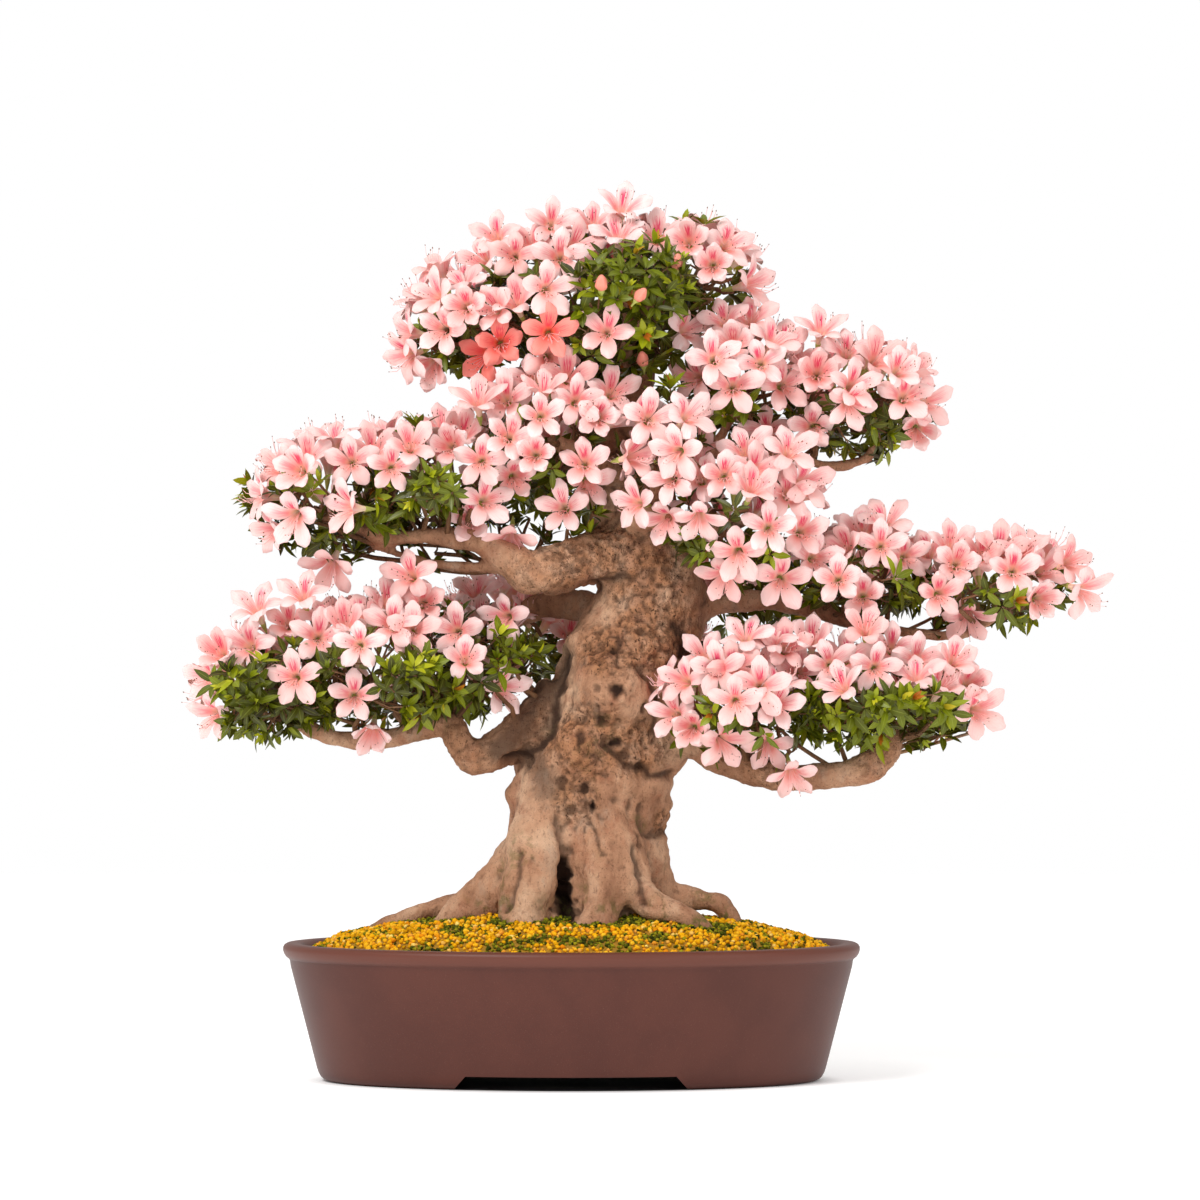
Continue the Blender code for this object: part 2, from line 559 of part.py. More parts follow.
def build_trunk(look, parts):
    """Trunk, surface roots and branches: one grown piece."""
    limbs = [tuple((x, y / TRUNK_DEPTH_SHARE, z, r) for x, y, z, r in TRUNK)]
    bm = bmesh.new()
    bm.from_mesh(limb_mesh(limbs[0]))
    for vertex in bm.verts:
        vertex.co.y *= TRUNK_DEPTH_SHARE
    for line in (*ROOTS.values(), *BRANCHES.values()):
        bm.from_mesh(limb_mesh(line))
    for x, y, z, radius in SWELLINGS:
        ball(bm, Vector((x, y, z)) * MM, [radius * MM] * 3)
    bmesh.ops.remove_doubles(bm, verts=bm.verts, dist=0.01 * MM)
    trunk = add_object("trunk", mesh_of(bm, "trunk"), parts, look)
    voxel_body(trunk, TRUNK_VOXEL)
    normals = [vertex.normal.copy() for vertex in trunk.data.vertices]
    for vertex, normal in zip(trunk.data.vertices, normals):
        swell = noise.noise(vertex.co / BARK_SIZE) * BARK_SWELL
        if math.hypot(vertex.co.x - 40 * MM, vertex.co.y) < 90 * MM:
            vertex.co += normal * swell
    decimate_to(trunk, TRUNK_TRIANGLES)
    return keep_largest_body(trunk)


# Foliage


def core_of(lobe):
    """Centre and radii of the twiggy core inside a lobe, in metres."""
    x, y, z, rx, ry, rz = lobe
    centre = Vector((x, y, z - (CORE_TOP - CORE_BOTTOM) / 2)) * MM
    radii = Vector((rx - CORE_SIDE, ry - CORE_SIDE, rz - (CORE_TOP + CORE_BOTTOM) / 2)) * MM
    return centre, radii


def build_core(name, lobes, tree, parts, look):
    bm = bmesh.new()
    for lobe in lobes:
        ball(bm, *core_of(lobe), subdivisions=3)
    for a, b in zip(lobes, lobes[1:]):
        start, end = core_of(a)[0], core_of(b)[0]
        for step in range(1, LINK_STEPS):
            ball(bm, start.lerp(end, step / LINK_STEPS), (CORE_LINK * MM, CORE_LINK * MM, 0.8 * CORE_LINK * MM))
    core = add_object(name, mesh_of(bm, name), parts, look)
    voxel_body(core, CORE_VOXEL, smoothing=6)
    decimate_to(core, CORE_TRIANGLES_A_LOBE * len(lobes))
    boolean(core, "DIFFERENCE", tree)
    return keep_largest_body(core)


def star(outline_points, top, bottom, stalk_points=()):
    """A closed solid between an outline and a point on each side of it, the lower one on a slim stalk."""
    bm = bmesh.new()
    outline = [bm.verts.new(point) for point in outline_points]
    stalk = [bm.verts.new(point) for point in stalk_points]
    above, below = bm.verts.new(top), bm.verts.new(bottom)
    count, corners = len(outline), len(stalk)
    for i in range(count):
        a, b = outline[i], outline[(i + 1) % count]
        bm.faces.new((a, b, above))
        if not stalk:
            bm.faces.new((b, a, below))
            continue
        here, after = i * corners // count, ((i + 1) % count) * corners // count
        bm.faces.new((b, a, stalk[here]))
        if here != after:
            bm.faces.new((b, stalk[here], stalk[after]))
    for here in range(corners):
        bm.faces.new((stalk[(here + 1) % corners], stalk[here], below))
    bm.verts.index_update()
    bm.normal_update()
    return bm


def grown_tree(bm, amount):
    """A search tree of a shape whose surface is moved out along its normals."""
    places = [vertex.co.copy() for vertex in bm.verts]
    for vertex in bm.verts:
        vertex.co += vertex.normal * amount
    found = BVHTree.FromBMesh(bm)
    for vertex, place in zip(bm.verts, places):
        vertex.co = place
    return found


def frame_for(facing):
    """Side and top directions of a thing that faces a way: its top points up, or to the back when it faces up."""
    top = UP - facing * UP.dot(facing)
    if top.length < 0.35:
        top = Vector((0, 1, 0)) - facing * facing.y
    top.normalize()
    return top.cross(facing).normalized(), top


def bloom_shape(mouth, facing, seat, size, roll):
    """A five-lobed funnel: its petals stand round the mouth, and it narrows back to where it sits on its twig."""
    side, top = frame_for(facing)
    outline = []
    for petal in range(PETALS):
        middle = math.tau * (0.25 + petal / PETALS) + roll
        for angle, share, depth in ((middle - math.pi / PETALS, NOTCH_SHARE, NOTCH_DEPTH), (middle, 1, 0)):
            flat = side * math.cos(angle) + top * math.sin(angle)
            outline.append(mouth + flat * share * BLOOM_RADIUS * size - facing * depth)
    return star(outline, mouth - facing * THROAT_DEPTH, seat)


def tuft_shape(root, facing, turn, leaves, rise):
    """A whorl of pointed leaves on a stalk whose end is sunk in the core."""
    side, top = frame_for(facing)
    outline = []
    for leaf in range(leaves):
        middle = turn + math.tau * leaf / leaves
        along = side * math.cos(middle) + top * math.sin(middle)
        across = facing.cross(along)
        along = along * math.cos(rise) + facing * math.sin(rise)
        crotch = middle - math.pi / leaves
        outline.append(root + (side * math.cos(crotch) + top * math.sin(crotch)) * 3 * MM + facing * 3 * MM)
        outline.append(root + along * 0.5 * LEAF_LENGTH - across * 0.7 * LEAF_WIDTH)
        outline.append(root + along * LEAF_LENGTH + across * 0.3 * LEAF_WIDTH)
    stalk = []
    for corner in range(3):
        angle = turn + math.tau * (corner / 3 - 0.5 / leaves)
        stalk.append(root + (side * math.cos(angle) + top * math.sin(angle)) * 2 * MM + facing * 2 * MM)
    return star(outline, root + facing * 5.5 * MM, root - facing * 8 * MM, stalk)


def lobe_share(lobe, x, z):
    """How far out a front-elevation place is on a lobe's layer of mouths: 1 is its edge."""
    return math.hypot((x - lobe[0]) / (lobe[3] - MOUTH_INSET), (z - lobe[2]) / (lobe[5] - MOUTH_INSET))


def mouth_in_depth(lobes, x, z):
    """The place of a bloom that is seen at (x, z): on the front of the lobe that holds it, or by the nearest one's rim."""
    holding = [lobe for lobe in lobes if lobe_share(lobe, x, z) < 1]
    holding = holding or [min(lobes, key=lambda lobe: lobe_share(lobe, x, z))]
    fronts = []
    for lobe in holding:
        rise = math.sqrt(max(RIM_RISE**2, 1 - lobe_share(lobe, x, z) ** 2))
        fronts.append(lobe[1] - (lobe[4] - MOUTH_INSET) * rise)
    y = min(fronts)
    away = 1 + y * MM / -EYE.y
    return Vector((EYE.x + (x * MM - EYE.x) * away, y * MM, EYE.z + (z * MM - EYE.z) * away))


def facing_from(right, up):
    return Vector((right, -math.sqrt(max(0.02, 1 - right * right - up * up)), up)).normalized()


def back_places(lobes, others, taken, rng):
    """Places and facings for blooms on the back and top of a pad: a lattice, filled outwards from the blooms there."""
    open_places = []
    for lobe in lobes:
        centre = Vector(lobe[:3]) * MM
        radii = Vector([lobe[i] - MOUTH_INSET for i in (3, 4, 5)]) * MM
        for step in range(BACK_PLACES):
            height = -0.3 + 1.26 * (step + 0.5) / BACK_PLACES
            angle = step * math.pi * (3 - math.sqrt(5)) + rng.uniform(-0.1, 0.1)
            flat = math.sqrt(max(0.0, 1 - height * height))
            unit = Vector((flat * math.cos(angle), flat * math.sin(angle), height))
            place = centre + Vector([unit[i] * radii[i] for i in range(3)])
            if unit.y > 0.12 and not any(inside_lobe(place, other) for other in others if other != lobe):
                normal = Vector([unit[i] / radii[i] for i in range(3)]).normalized()
                open_places.append((place, (normal + UP * 0.25).normalized()))
    places = []
    while open_places:
        open_places = [
            spot for spot in open_places if min((spot[0] - other).length for other in taken) >= BACK_SPACING
        ]
        if open_places:
            nearest = min(open_places, key=lambda spot: min((spot[0] - other).length for other in taken))
            taken.append(nearest[0])
            places.append(nearest)
    return places


def inside_lobe(place, lobe):
    span = [(place[i] / MM - lobe[i]) / (lobe[i + 3] - MOUTH_INSET) for i in range(3)]
    return sum(value * value for value in span) < 0.9


def settled_bloom(mouth, facing, core, obstacles, kin):
    """The bloom near its place that clears the core and the obstacles, and crosses one of its kind at a tip."""
    near_kin = [(place, shape) for place, shape in kin if (place - mouth).length < KIN_REACH]
    nearest = min(near_kin, key=lambda other: (other[0] - mouth).length, default=None)
    near, _, _, _ = core.find_nearest(mouth)
    out = (mouth - near).normalized()
    best, best_cost = None, math.inf
    for push, slide in sorted(itertools.product(PUSHES, SLIDES), key=sum):
        if push + slide >= best_cost or (slide and not nearest):
            continue
        place = mouth + out * push * MM
        if nearest:
            place += (nearest[0] - place).normalized() * slide * MM
        turn = push / 45
        way = (facing * (1 - turn) + out * turn).normalized()
        near, normal, _, _ = core.find_nearest(place - way * 16 * MM)
        for roll, size in itertools.product(ROLLS, SIZES):
            moved = push + slide + abs(roll) / 12 + 20 * (1 - size)
            if moved >= best_cost:
                continue
            bm = bloom_shape(place, way, near + normal * 1.5 * GAP, size, math.radians(roll))
            shape, grown, shrunk = (grown_tree(bm, amount) for amount in (0, 1.5 * GAP, -GAP))
            crossed = [len(shrunk.overlap(other)) for _, other in near_kin]
            met = sum(1 for count in crossed if count)
            cost = moved + 0.5 * sum(crossed)
            cost += CROWD_COST * (met - 1) if met else ALONE_COST
            grazed = any(grown.overlap(other) for (_, other), count in zip(near_kin, crossed) if not count)
            blocked = grazed or shape.overlap(core) or any(grown.overlap(other) for other in obstacles)
            if cost >= best_cost or blocked or crossings(bm):
                bm.free()
                continue
            best, best_cost = (bm, shape, place), cost
    return best


def connected_groups(trees):
    """Which blooms cross one another, as groups of indices."""
    group = list(range(len(trees)))
    for i, first in enumerate(trees):
        for j in range(i):
            if group[i] != group[j] and first.overlap(trees[j]):
                old, new = group[i], group[j]
                group = [new if value == old else value for value in group]
    return [[i for i, value in enumerate(group) if value == name] for name in sorted(set(group))]


def fused(name, meshes, parts, look):
    """One object from solids that cross each other."""
    first = add_object(name, meshes[0].copy(), parts, look)
    if len(meshes) > 1:
        rest = bpy.data.collections.new(name + "_rest")
        bpy.context.scene.collection.children.link(rest)
        for mesh in meshes[1:]:
            add_object("piece", mesh, rest)
        boolean(first, "UNION", rest)
        for obj in list(rest.objects):
            bpy.data.objects.remove(obj)
        bpy.data.collections.remove(rest)
        keep_largest_body(first)
    first.data.materials.clear()
    first.data.materials.append(look)
    return first


def tuft_places(core, lobes, rng):
    """Places spread over a core, as its nearest points to places spread round its lobes."""
    places = []
    for lobe in lobes:
        centre, radii = core_of(lobe)
        for step in range(TUFTS_TRIED_A_LOBE):
            height = 1 - 2 * (step + 0.5) / TUFTS_TRIED_A_LOBE
            angle = step * math.pi * (3 - math.sqrt(5)) + rng.uniform(-0.1, 0.1)
            flat = math.sqrt(1 - height * height)
            unit = Vector((flat * math.cos(angle), flat * math.sin(angle), height))
            outside = centre + Vector([unit[i] * radii[i] * 1.3 for i in range(3)])
            near, normal, _, _ = core.find_nearest(outside)
            if (near - outside).length > 0.5 * max(radii):
                continue
            if all((near - other).length > TUFT_SPACING for other, _ in places):
                places.append((near, (normal + unit * 0.3).normalized()))
    return places


def settled_tuft(root, facing, obstacles, rng):
    """The widest whorl of leaves that has room at a root."""
    first = rng.uniform(0, math.tau)
    for leaves, rise in WHORLS:
        for turn in range(WHORL_TURNS):
            angle = first + turn * math.tau / leaves / WHORL_TURNS
            bm = tuft_shape(root, facing, angle, leaves, math.radians(rise))
            grown = grown_tree(bm, 1.2 * GAP)
            if not crossings(bm) and not any(grown.overlap(other) for other in obstacles):
                return mesh_of(bm)
            bm.free()
    return None


def main():
    for obj in list(bpy.data.objects):
        bpy.data.objects.remove(obj)
    parts = collection("satsuki_azalea_bonsai")
    cutters = collection("cutters", hidden=True)
    looks = {
        "stoneware": material("unglazed_stoneware", (0.115, 0.05, 0.038), 0.5),
        "soil": material("kanuma_soil", (0.6, 0.36, 0.08), 0.95),
        "screen": material("black_plastic_mesh", (0.02, 0.02, 0.02), 0.5),
        "bark": material("azalea_bark", (0.3, 0.19, 0.12), 0.8),
        "leaf": material("azalea_leaf", (0.08, 0.17, 0.03), 0.4),
        "pink": material("pale_pink_petal", (0.86, 0.5, 0.46), 0.6),
        "coral": material("coral_petal", (0.86, 0.2, 0.15), 0.6),
    }

    build_pot(looks["stoneware"], parts, cutters)
    for side, x in (("left", -DRAIN_X), ("right", DRAIN_X)):
        build_screen(f"drain_screen_{side}", x, looks["screen"], parts)
    trunk = build_trunk(looks["bark"], parts)
    tree = add_object("tree_cutter", inflated(trunk.data, 1.5 * GAP), cutters)
    build_soil(looks["soil"], parts, cutters, tree)

    cores = {
        name: build_core(f"{name}_leaves", lobes, tree, parts, looks["leaf"]) for name, lobes in PADS.items()
    }
    core_trees = {name: tree_of(core.data) for name, core in cores.items()}
    trunk_tree = tree_of(trunk.data)
    rng = random.Random(7)

    every_lobe = [lobe for lobes in PADS.values() for lobe in lobes]
    taken, placed = [], {}
    for name, lobes in PADS.items():
        wanted = [("coral", *spot) for spot in CORAL_BLOOMS.get(name, ())]
        wanted += [("pink", *spot) for spot in BLOOMS.get(name, ())]
        mouths = [mouth_in_depth(lobes, x, z) for _, x, z, _, _ in wanted]
        placed[name] = [
            (colour, mouth, facing_from(right, up)) for (colour, _, _, right, up), mouth in zip(wanted, mouths)
        ]
        taken += mouths
    for name, lobes in PADS.items():
        placed[name] += [("pink", place, way) for place, way in back_places(lobes, every_lobe, taken, rng)]

    done = []  # (pad, colour, mesh, its tree, its mouth)
    for name in PADS:
        cores_around = [core_trees[other] for other in PADS if other != name]
        waiting = placed[name]
        while waiting:
            own = [entry for entry in done if entry[0] == name]
            if own:
                waiting.sort(key=lambda spot: min((spot[1] - entry[4]).length for entry in own))
            colour, mouth, facing = waiting.pop(0)
            kin = [(entry[4], entry[3]) for entry in own if entry[1] == colour]
            strangers = [entry[3] for entry in done if entry[:2] != (name, colour)]
            obstacles = [*cores_around, trunk_tree, *strangers]
            found = settled_bloom(mouth, facing, core_trees[name], obstacles, kin)
            if found:
                bm, shape, place = found
                done.append((name, colour, mesh_of(bm), shape, place))
            else:
                print("no room for a bloom:", name, colour, [round(c * 1000) for c in mouth])

    bloom_trees = []
    for name, (colour, word) in itertools.product(PADS, (("pink", "blooms"), ("coral", "coral_blooms"))):
        own = [entry for entry in done if entry[:2] == (name, colour)]
        groups = sorted(connected_groups([entry[3] for entry in own]), key=len, reverse=True)
        print(name, colour, len(own), "blooms in groups of", [len(group) for group in groups])
        for number, members in enumerate(groups, 1):
            bunch = fused(f"{name}_{word}_{number}", [own[i][2] for i in members], parts, looks[colour])
            if len(members) > 1:
                thinned(bunch)
            bloom_trees.append(tree_of(bunch.data))

    for name in PADS:
        cores_around = [core_trees[other] for other in PADS if other != name]
        obstacles = [trunk_tree, *cores_around, *bloom_trees]
        tufts = []
        for root, facing in tuft_places(core_trees[name], PADS[name], rng):
            mesh = settled_tuft(root, facing, obstacles, rng)
            if mesh:
                tufts.append(mesh)
        print(name, len(tufts), "tufts")
        core = cores[name]
        leaf_name = core.name
        whole = fused(leaf_name + "_whole", [core.data, *tufts], parts, looks["leaf"])
        bpy.data.objects.remove(core)
        whole.name = leaf_name

    holder = bpy.data.objects.new("bonsai", None)
    parts.objects.link(holder)
    holder.location = -BOX_CENTRE
    for obj in parts.objects:
        if obj.type == "MESH":
            obj.parent = holder
    for obj in cutters.objects:
        obj.hide_render = True
        obj.display_type = "WIRE"


main()
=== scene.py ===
import math
import random

import bmesh
import bpy
import numpy as np
from mathutils import Matrix, Vector, noise
from mathutils.bvhtree import BVHTree


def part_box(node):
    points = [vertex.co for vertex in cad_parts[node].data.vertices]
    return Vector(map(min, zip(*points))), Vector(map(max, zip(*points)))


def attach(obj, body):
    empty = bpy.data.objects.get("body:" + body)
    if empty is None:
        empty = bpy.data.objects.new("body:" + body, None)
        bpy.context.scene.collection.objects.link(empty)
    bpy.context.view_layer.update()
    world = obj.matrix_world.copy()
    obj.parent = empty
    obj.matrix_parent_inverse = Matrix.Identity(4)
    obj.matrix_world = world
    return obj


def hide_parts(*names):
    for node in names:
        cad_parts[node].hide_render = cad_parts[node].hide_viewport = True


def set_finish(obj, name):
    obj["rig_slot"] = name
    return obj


# A satsuki azalea bonsai in flower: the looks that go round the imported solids.
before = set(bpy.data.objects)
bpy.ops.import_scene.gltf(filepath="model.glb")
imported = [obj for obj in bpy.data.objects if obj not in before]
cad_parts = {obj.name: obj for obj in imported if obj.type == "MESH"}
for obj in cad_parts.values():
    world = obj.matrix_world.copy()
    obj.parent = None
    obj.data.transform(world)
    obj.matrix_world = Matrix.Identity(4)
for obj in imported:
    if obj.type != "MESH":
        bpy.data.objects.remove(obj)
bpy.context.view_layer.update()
bpy.ops.object.select_all(action="DESELECT")

mm = 0.001
up = Vector((0, 0, 1))
potLow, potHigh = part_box("pot")
# places below are in millimetres from the middle of the pot's base, whose place in the frame this is
potMiddle = Vector(((potLow.x + potHigh.x) / 2, (potLow.y + potHigh.y) / 2, 0))
eye = Vector((25.65, -6000, 432))
nodeNames = sorted(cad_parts)


# Small tools


def real(point):
    # a point in millimetres from the pot's middle, in the frame's metres
    return potMiddle + Vector(point) * mm


def smoothStep(low, high, value):
    share = min(1.0, max(0.0, (value - low) / (high - low)))
    return share * share * (3 - 2 * share)


def smoothLine(points, steps):
    # a smooth line that runs through points of any number of values
    padded = [points[0], *points, points[-1]]
    line = []
    for a, b, c, d in zip(padded, padded[1:], padded[2:], padded[3:]):
        square, cube = 2 * a - 5 * b + 4 * c - d, 3 * b - a - 3 * c + d
        for t in (step / steps for step in range(steps)):
            line.append(0.5 * (2 * b + (c - a) * t + square * t * t + cube * t**3))
    return [*line, points[-1]]


def only(obj):
    # makes one object the selected and active one
    bpy.ops.object.select_all(action="DESELECT")
    obj.select_set(True)
    bpy.context.view_layer.objects.active = obj
    return obj


def applied(obj, kind, **settings):
    # adds a modifier, sets it and applies it
    only(obj)
    modifier = obj.modifiers.new(kind.title(), kind)
    for name, value in settings.items():
        setattr(modifier, name, value)
    bpy.ops.object.modifier_apply(modifier=modifier.name)
    return obj


def joined(objects):
    only(objects[0])
    for obj in objects[1:]:
        obj.select_set(True)
    if len(objects) > 1:
        bpy.ops.object.join()
    return objects[0]


def treeOf(mesh):
    bm = bmesh.new()
    bm.from_mesh(mesh)
    tree = BVHTree.FromBMesh(bm)
    bm.free()
    return tree


def readAll(items, attribute, width=1, kind=float):
    # one value, or a row of them, of every item of a mesh
    values = np.empty(len(items) * width, kind)
    items.foreach_get(attribute, values)
    return values.reshape(-1, width) if width > 1 else values


def linked(name, data):
    obj = bpy.data.objects.new(name, data)
    bpy.context.scene.collection.objects.link(obj)
    return obj


def frameFor(facing):
    # side and top directions of a thing that faces a way
    top = up - facing * up.dot(facing)
    if top.length < 0.35:
        top = Vector((0, 1, 0)) - facing * facing.y
    top.normalize()
    return top.cross(facing).normalized(), top


def standing(place, facing, roll=0.0, size=1.0):
    # the matrix that takes a shape made about +Z to a place, facing a way
    side, top = frameFor(facing)
    turn = Matrix((side, top, facing)).transposed().to_4x4()
    return Matrix.Translation(place) @ turn @ Matrix.Rotation(roll, 4, "Z") @ Matrix.Scale(size, 4)


def spiral(count, low=-1.0, high=1.0):
    # directions spread evenly over a ball, between two heights
    for step in range(count):
        height = high - (high - low) * (step + 0.5) / count
        angle = step * math.pi * (3 - math.sqrt(5))
        flat = math.sqrt(max(0.0, 1 - height * height))
        yield Vector((flat * math.cos(angle), flat * math.sin(angle), height))


def trianglesOf(obj):
    return sum(len(face.vertices) - 2 for face in obj.data.polygons)


def pieceReady(obj, name, palette, slot, replaced, smooth=None):
    # names a finished piece, and tells the frame what it stands for
    obj.name = obj.data.name = name
    if obj.data.materials:
        obj.data.materials.clear()  # this also forgets which face has which look
    for look in palette:
        obj.data.materials.append(look)
    if smooth:
        only(obj)
        bpy.ops.object.shade_smooth_by_angle(angle=math.radians(smooth))
    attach(obj, "root")
    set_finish(obj, slot)
    if replaced:
        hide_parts(*replaced)
    print(f"{name}: {trianglesOf(obj)} triangles")
    return obj


# Materials


def paint(*levels):
    # a screen colour, 0 to 255, as the shader wants it
    shares = [level / 255 for level in levels]
    return (*[((part + 0.055) / 1.055) ** 2.4 if part > 0.04 else part / 12.92 for part in shares], 1)


def newLook(name, roughness, **sockets):
    look = bpy.data.materials.new(name)
    look.use_nodes = True
    shader = look.node_tree.nodes["Principled BSDF"]
    shader.inputs["Roughness"].default_value = roughness
    for socket, value in sockets.items():
        shader.inputs[socket.replace("_", " ")].default_value = value
    return look, look.node_tree, shader


def add(tree, kind, settings=None, **inputs):
    # a new node; an input is given by its name, or as at0, at1 and so on by its number
    made = tree.nodes.new("ShaderNode" + kind)
    for name, value in (settings or {}).items():
        setattr(made, name, value)
    for name, value in inputs.items():
        socket = made.inputs[int(name[2:])] if name.startswith("at") else made.inputs[name.replace("_", " ")]
        if isinstance(value, bpy.types.NodeSocket):
            tree.links.new(value, socket)
        else:
            socket.default_value = value
    return made


def objectPlace(tree):
    return add(tree, "TexCoord").outputs["Object"]


def noiseAt(tree, scale, detail=3.0, roughness=0.55, squash=(1, 1, 1), distortion=0.0):
    where = objectPlace(tree)
    if squash != (1, 1, 1):
        where = add(tree, "Mapping", Vector=where, Scale=squash).outputs[0]
    settings = {"Scale": scale, "Detail": detail, "Roughness": roughness, "Distortion": distortion}
    return add(tree, "TexNoise", Vector=where, **settings).outputs["Fac"]


def ramp(tree, value, *stops):
    made = add(tree, "ValToRGB", Fac=value)
    elements = made.color_ramp.elements
    while len(elements) < len(stops):
        elements.new(0.5)
    for element, (position, colour) in zip(elements, stops):
        element.position = position
        element.color = colour
    return made.outputs["Color"]


def mask(tree, value, low, high):
    smooth = {"interpolation_type": "SMOOTHSTEP"}
    return add(tree, "MapRange", smooth, Value=value, From_Min=low, From_Max=high).outputs[0]


def maths(tree, operation, first, second=0.0):
    return add(tree, "Math", {"operation": operation}, at0=first, at1=second).outputs[0]


def times(tree, first, *others):
    for other in others:
        first = maths(tree, "MULTIPLY", first, other)
    return first


def unless(tree, value, low, high):
    # the reverse of a mask: 1 below and 0 above
    return maths(tree, "SUBTRACT", 1.0, mask(tree, value, low, high))


def mixed(tree, share, first, second, kind="MIX"):
    return add(tree, "MixRGB", {"blend_type": kind}, Fac=share, Color1=first, Color2=second).outputs[0]


def attribute(tree, name):
    return add(tree, "Attribute", {"attribute_name": name}).outputs["Fac"]


def finished(tree, shader, colour, height, strength, distance):
    # gives a look its colour, and the fine relief that catches the light
    tree.links.new(colour, shader.inputs["Base Color"])
    bump = add(tree, "Bump", Height=height, Strength=strength, Distance=distance)
    tree.links.new(bump.outputs[0], shader.inputs["Normal"])


def stonewareLook():
    look, tree, shader = newLook("unglazedStoneware", 0.44, Specular_IOR_Level=0.3)
    colour = mixed(tree, mask(tree, noiseAt(tree, 14, 4), 0.35, 0.65), paint(79, 38, 28), paint(86, 43, 32))
    colour = mixed(tree, mask(tree, noiseAt(tree, 1400, 2), 0.62, 0.8), colour, paint(112, 72, 60))
    colour = mixed(tree, mask(tree, noiseAt(tree, 900, 2), 0.66, 0.8), colour, paint(64, 34, 28))
    # a painted highlight: the lip is painted paler where the light from above falls on it
    height = add(tree, "SeparateXYZ", Vector=objectPlace(tree)).outputs[2]
    paintedLipHighlight = times(tree, mask(tree, height, 109 * mm, 113 * mm), 0.75)
    colour = mixed(tree, paintedLipHighlight, colour, paint(106, 59, 46))
    finished(tree, shader, colour, noiseAt(tree, 800, 3), 0.18, 0.4 * mm)
    return look


# coats of colour on the bark: what noise it lies by, from which value of it and to which,
# how strong it is on sound bark, how much stronger on broken bark, and its paint
barkCoats = (
    ((26, 5, 0.65), 0.5, 0.68, 0.6, 0, paint(158, 98, 70)),
    ((31, 6, 0.65, (1, 1, 0.5)), 0.55, 0.7, 0.5, 0, paint(172, 150, 130)),
    ((170, 5, 0.7, (1, 1, 0.4)), 0.54, 0.68, 0.5, 0, paint(118, 80, 58)),
    ((55, 5, 0.6), 0.35, 0.6, 0, 0.65, paint(180, 122, 80)),
    ((330, 4, 0.65, (1, 1, 0.7)), 0.6, 0.66, 0.42, 0.6, paint(70, 44, 30)),
    ((640, 4, 0.6), 0.58, 0.64, 0.3, 0.5, paint(58, 36, 24)),
    ((105, 6, 0.7), 0.53, 0.62, 0, 0.6, paint(92, 60, 40)),
)


def barkLook(name, light, middle, dark):
    look, tree, shader = newLook(name, 0.8, Specular_IOR_Level=0.22)
    patches = noiseAt(tree, 19, 7, 0.62, (1, 1, 0.6), 0.5)
    colour = ramp(tree, patches, (0.3, dark), (0.48, middle), (0.66, light))
    broken = attribute(tree, "rough")
    for where, low, high, sound, more, tint in barkCoats:
        strength = maths(tree, "ADD", times(tree, broken, more), sound)
        patch = mask(tree, noiseAt(tree, *where), low, high)
        colour = mixed(tree, times(tree, patch, strength), colour, tint)
    # painted shade in the scars, creases and crevices
    colour = mixed(tree, attribute(tree, "hollow"), colour, paint(50, 31, 21))
    green = times(tree, attribute(tree, "moss"), mask(tree, noiseAt(tree, 120, 4), 0.45, 0.62))
    colour = mixed(tree, green, colour, paint(88, 92, 34))
    coarse = times(tree, noiseAt(tree, 80, 6, 0.65), 1.2)
    grain = maths(tree, "ADD", noiseAt(tree, 300, 6, 0.7, (1, 1, 0.5)), coarse)
    finished(tree, shader, colour, grain, 0.9, 3 * mm)
    return look


def grainLook(name, *stops):
    look, tree, shader = newLook(name, 0.85, Specular_IOR_Level=0.12)
    colour = ramp(tree, attribute(tree, "tone"), *stops)
    stain = times(tree, noiseAt(tree, 900, 3), 0.2)
    colour = mixed(tree, stain, colour, paint(170, 116, 30), "MULTIPLY")
    finished(tree, shader, colour, noiseAt(tree, 1500, 3), 0.35, 0.5 * mm)
    return look


def leafLook():
    look, tree, shader = newLook("azaleaLeaf", 0.4, Specular_IOR_Level=0.32)
    # from old leaves in the shade to young ones, and last the few that turn red
    colour = ramp(
        tree, attribute(tree, "tone"),
        (0.0, paint(40, 38, 4)), (0.25, paint(70, 76, 4)), (0.5, paint(112, 124, 6)),
        (0.72, paint(164, 172, 16)), (0.9, paint(208, 204, 40)), (1.0, paint(190, 96, 26)),
    )
    colour = mixed(tree, times(tree, noiseAt(tree, 160, 3), 0.35), colour, paint(96, 88, 16))
    across = add(tree, "SeparateXYZ", Vector=add(tree, "UVMap").outputs[0]).outputs[0]
    fromRib = maths(tree, "ABSOLUTE", maths(tree, "SUBTRACT", across, 0.5))
    rib = maths(tree, "SUBTRACT", 0.35, mask(tree, fromRib, 0.0, 0.12))
    colour = mixed(tree, rib, colour, paint(176, 186, 84))
    finished(tree, shader, colour, noiseAt(tree, 500, 2), 0.15, 0.3 * mm)
    return look


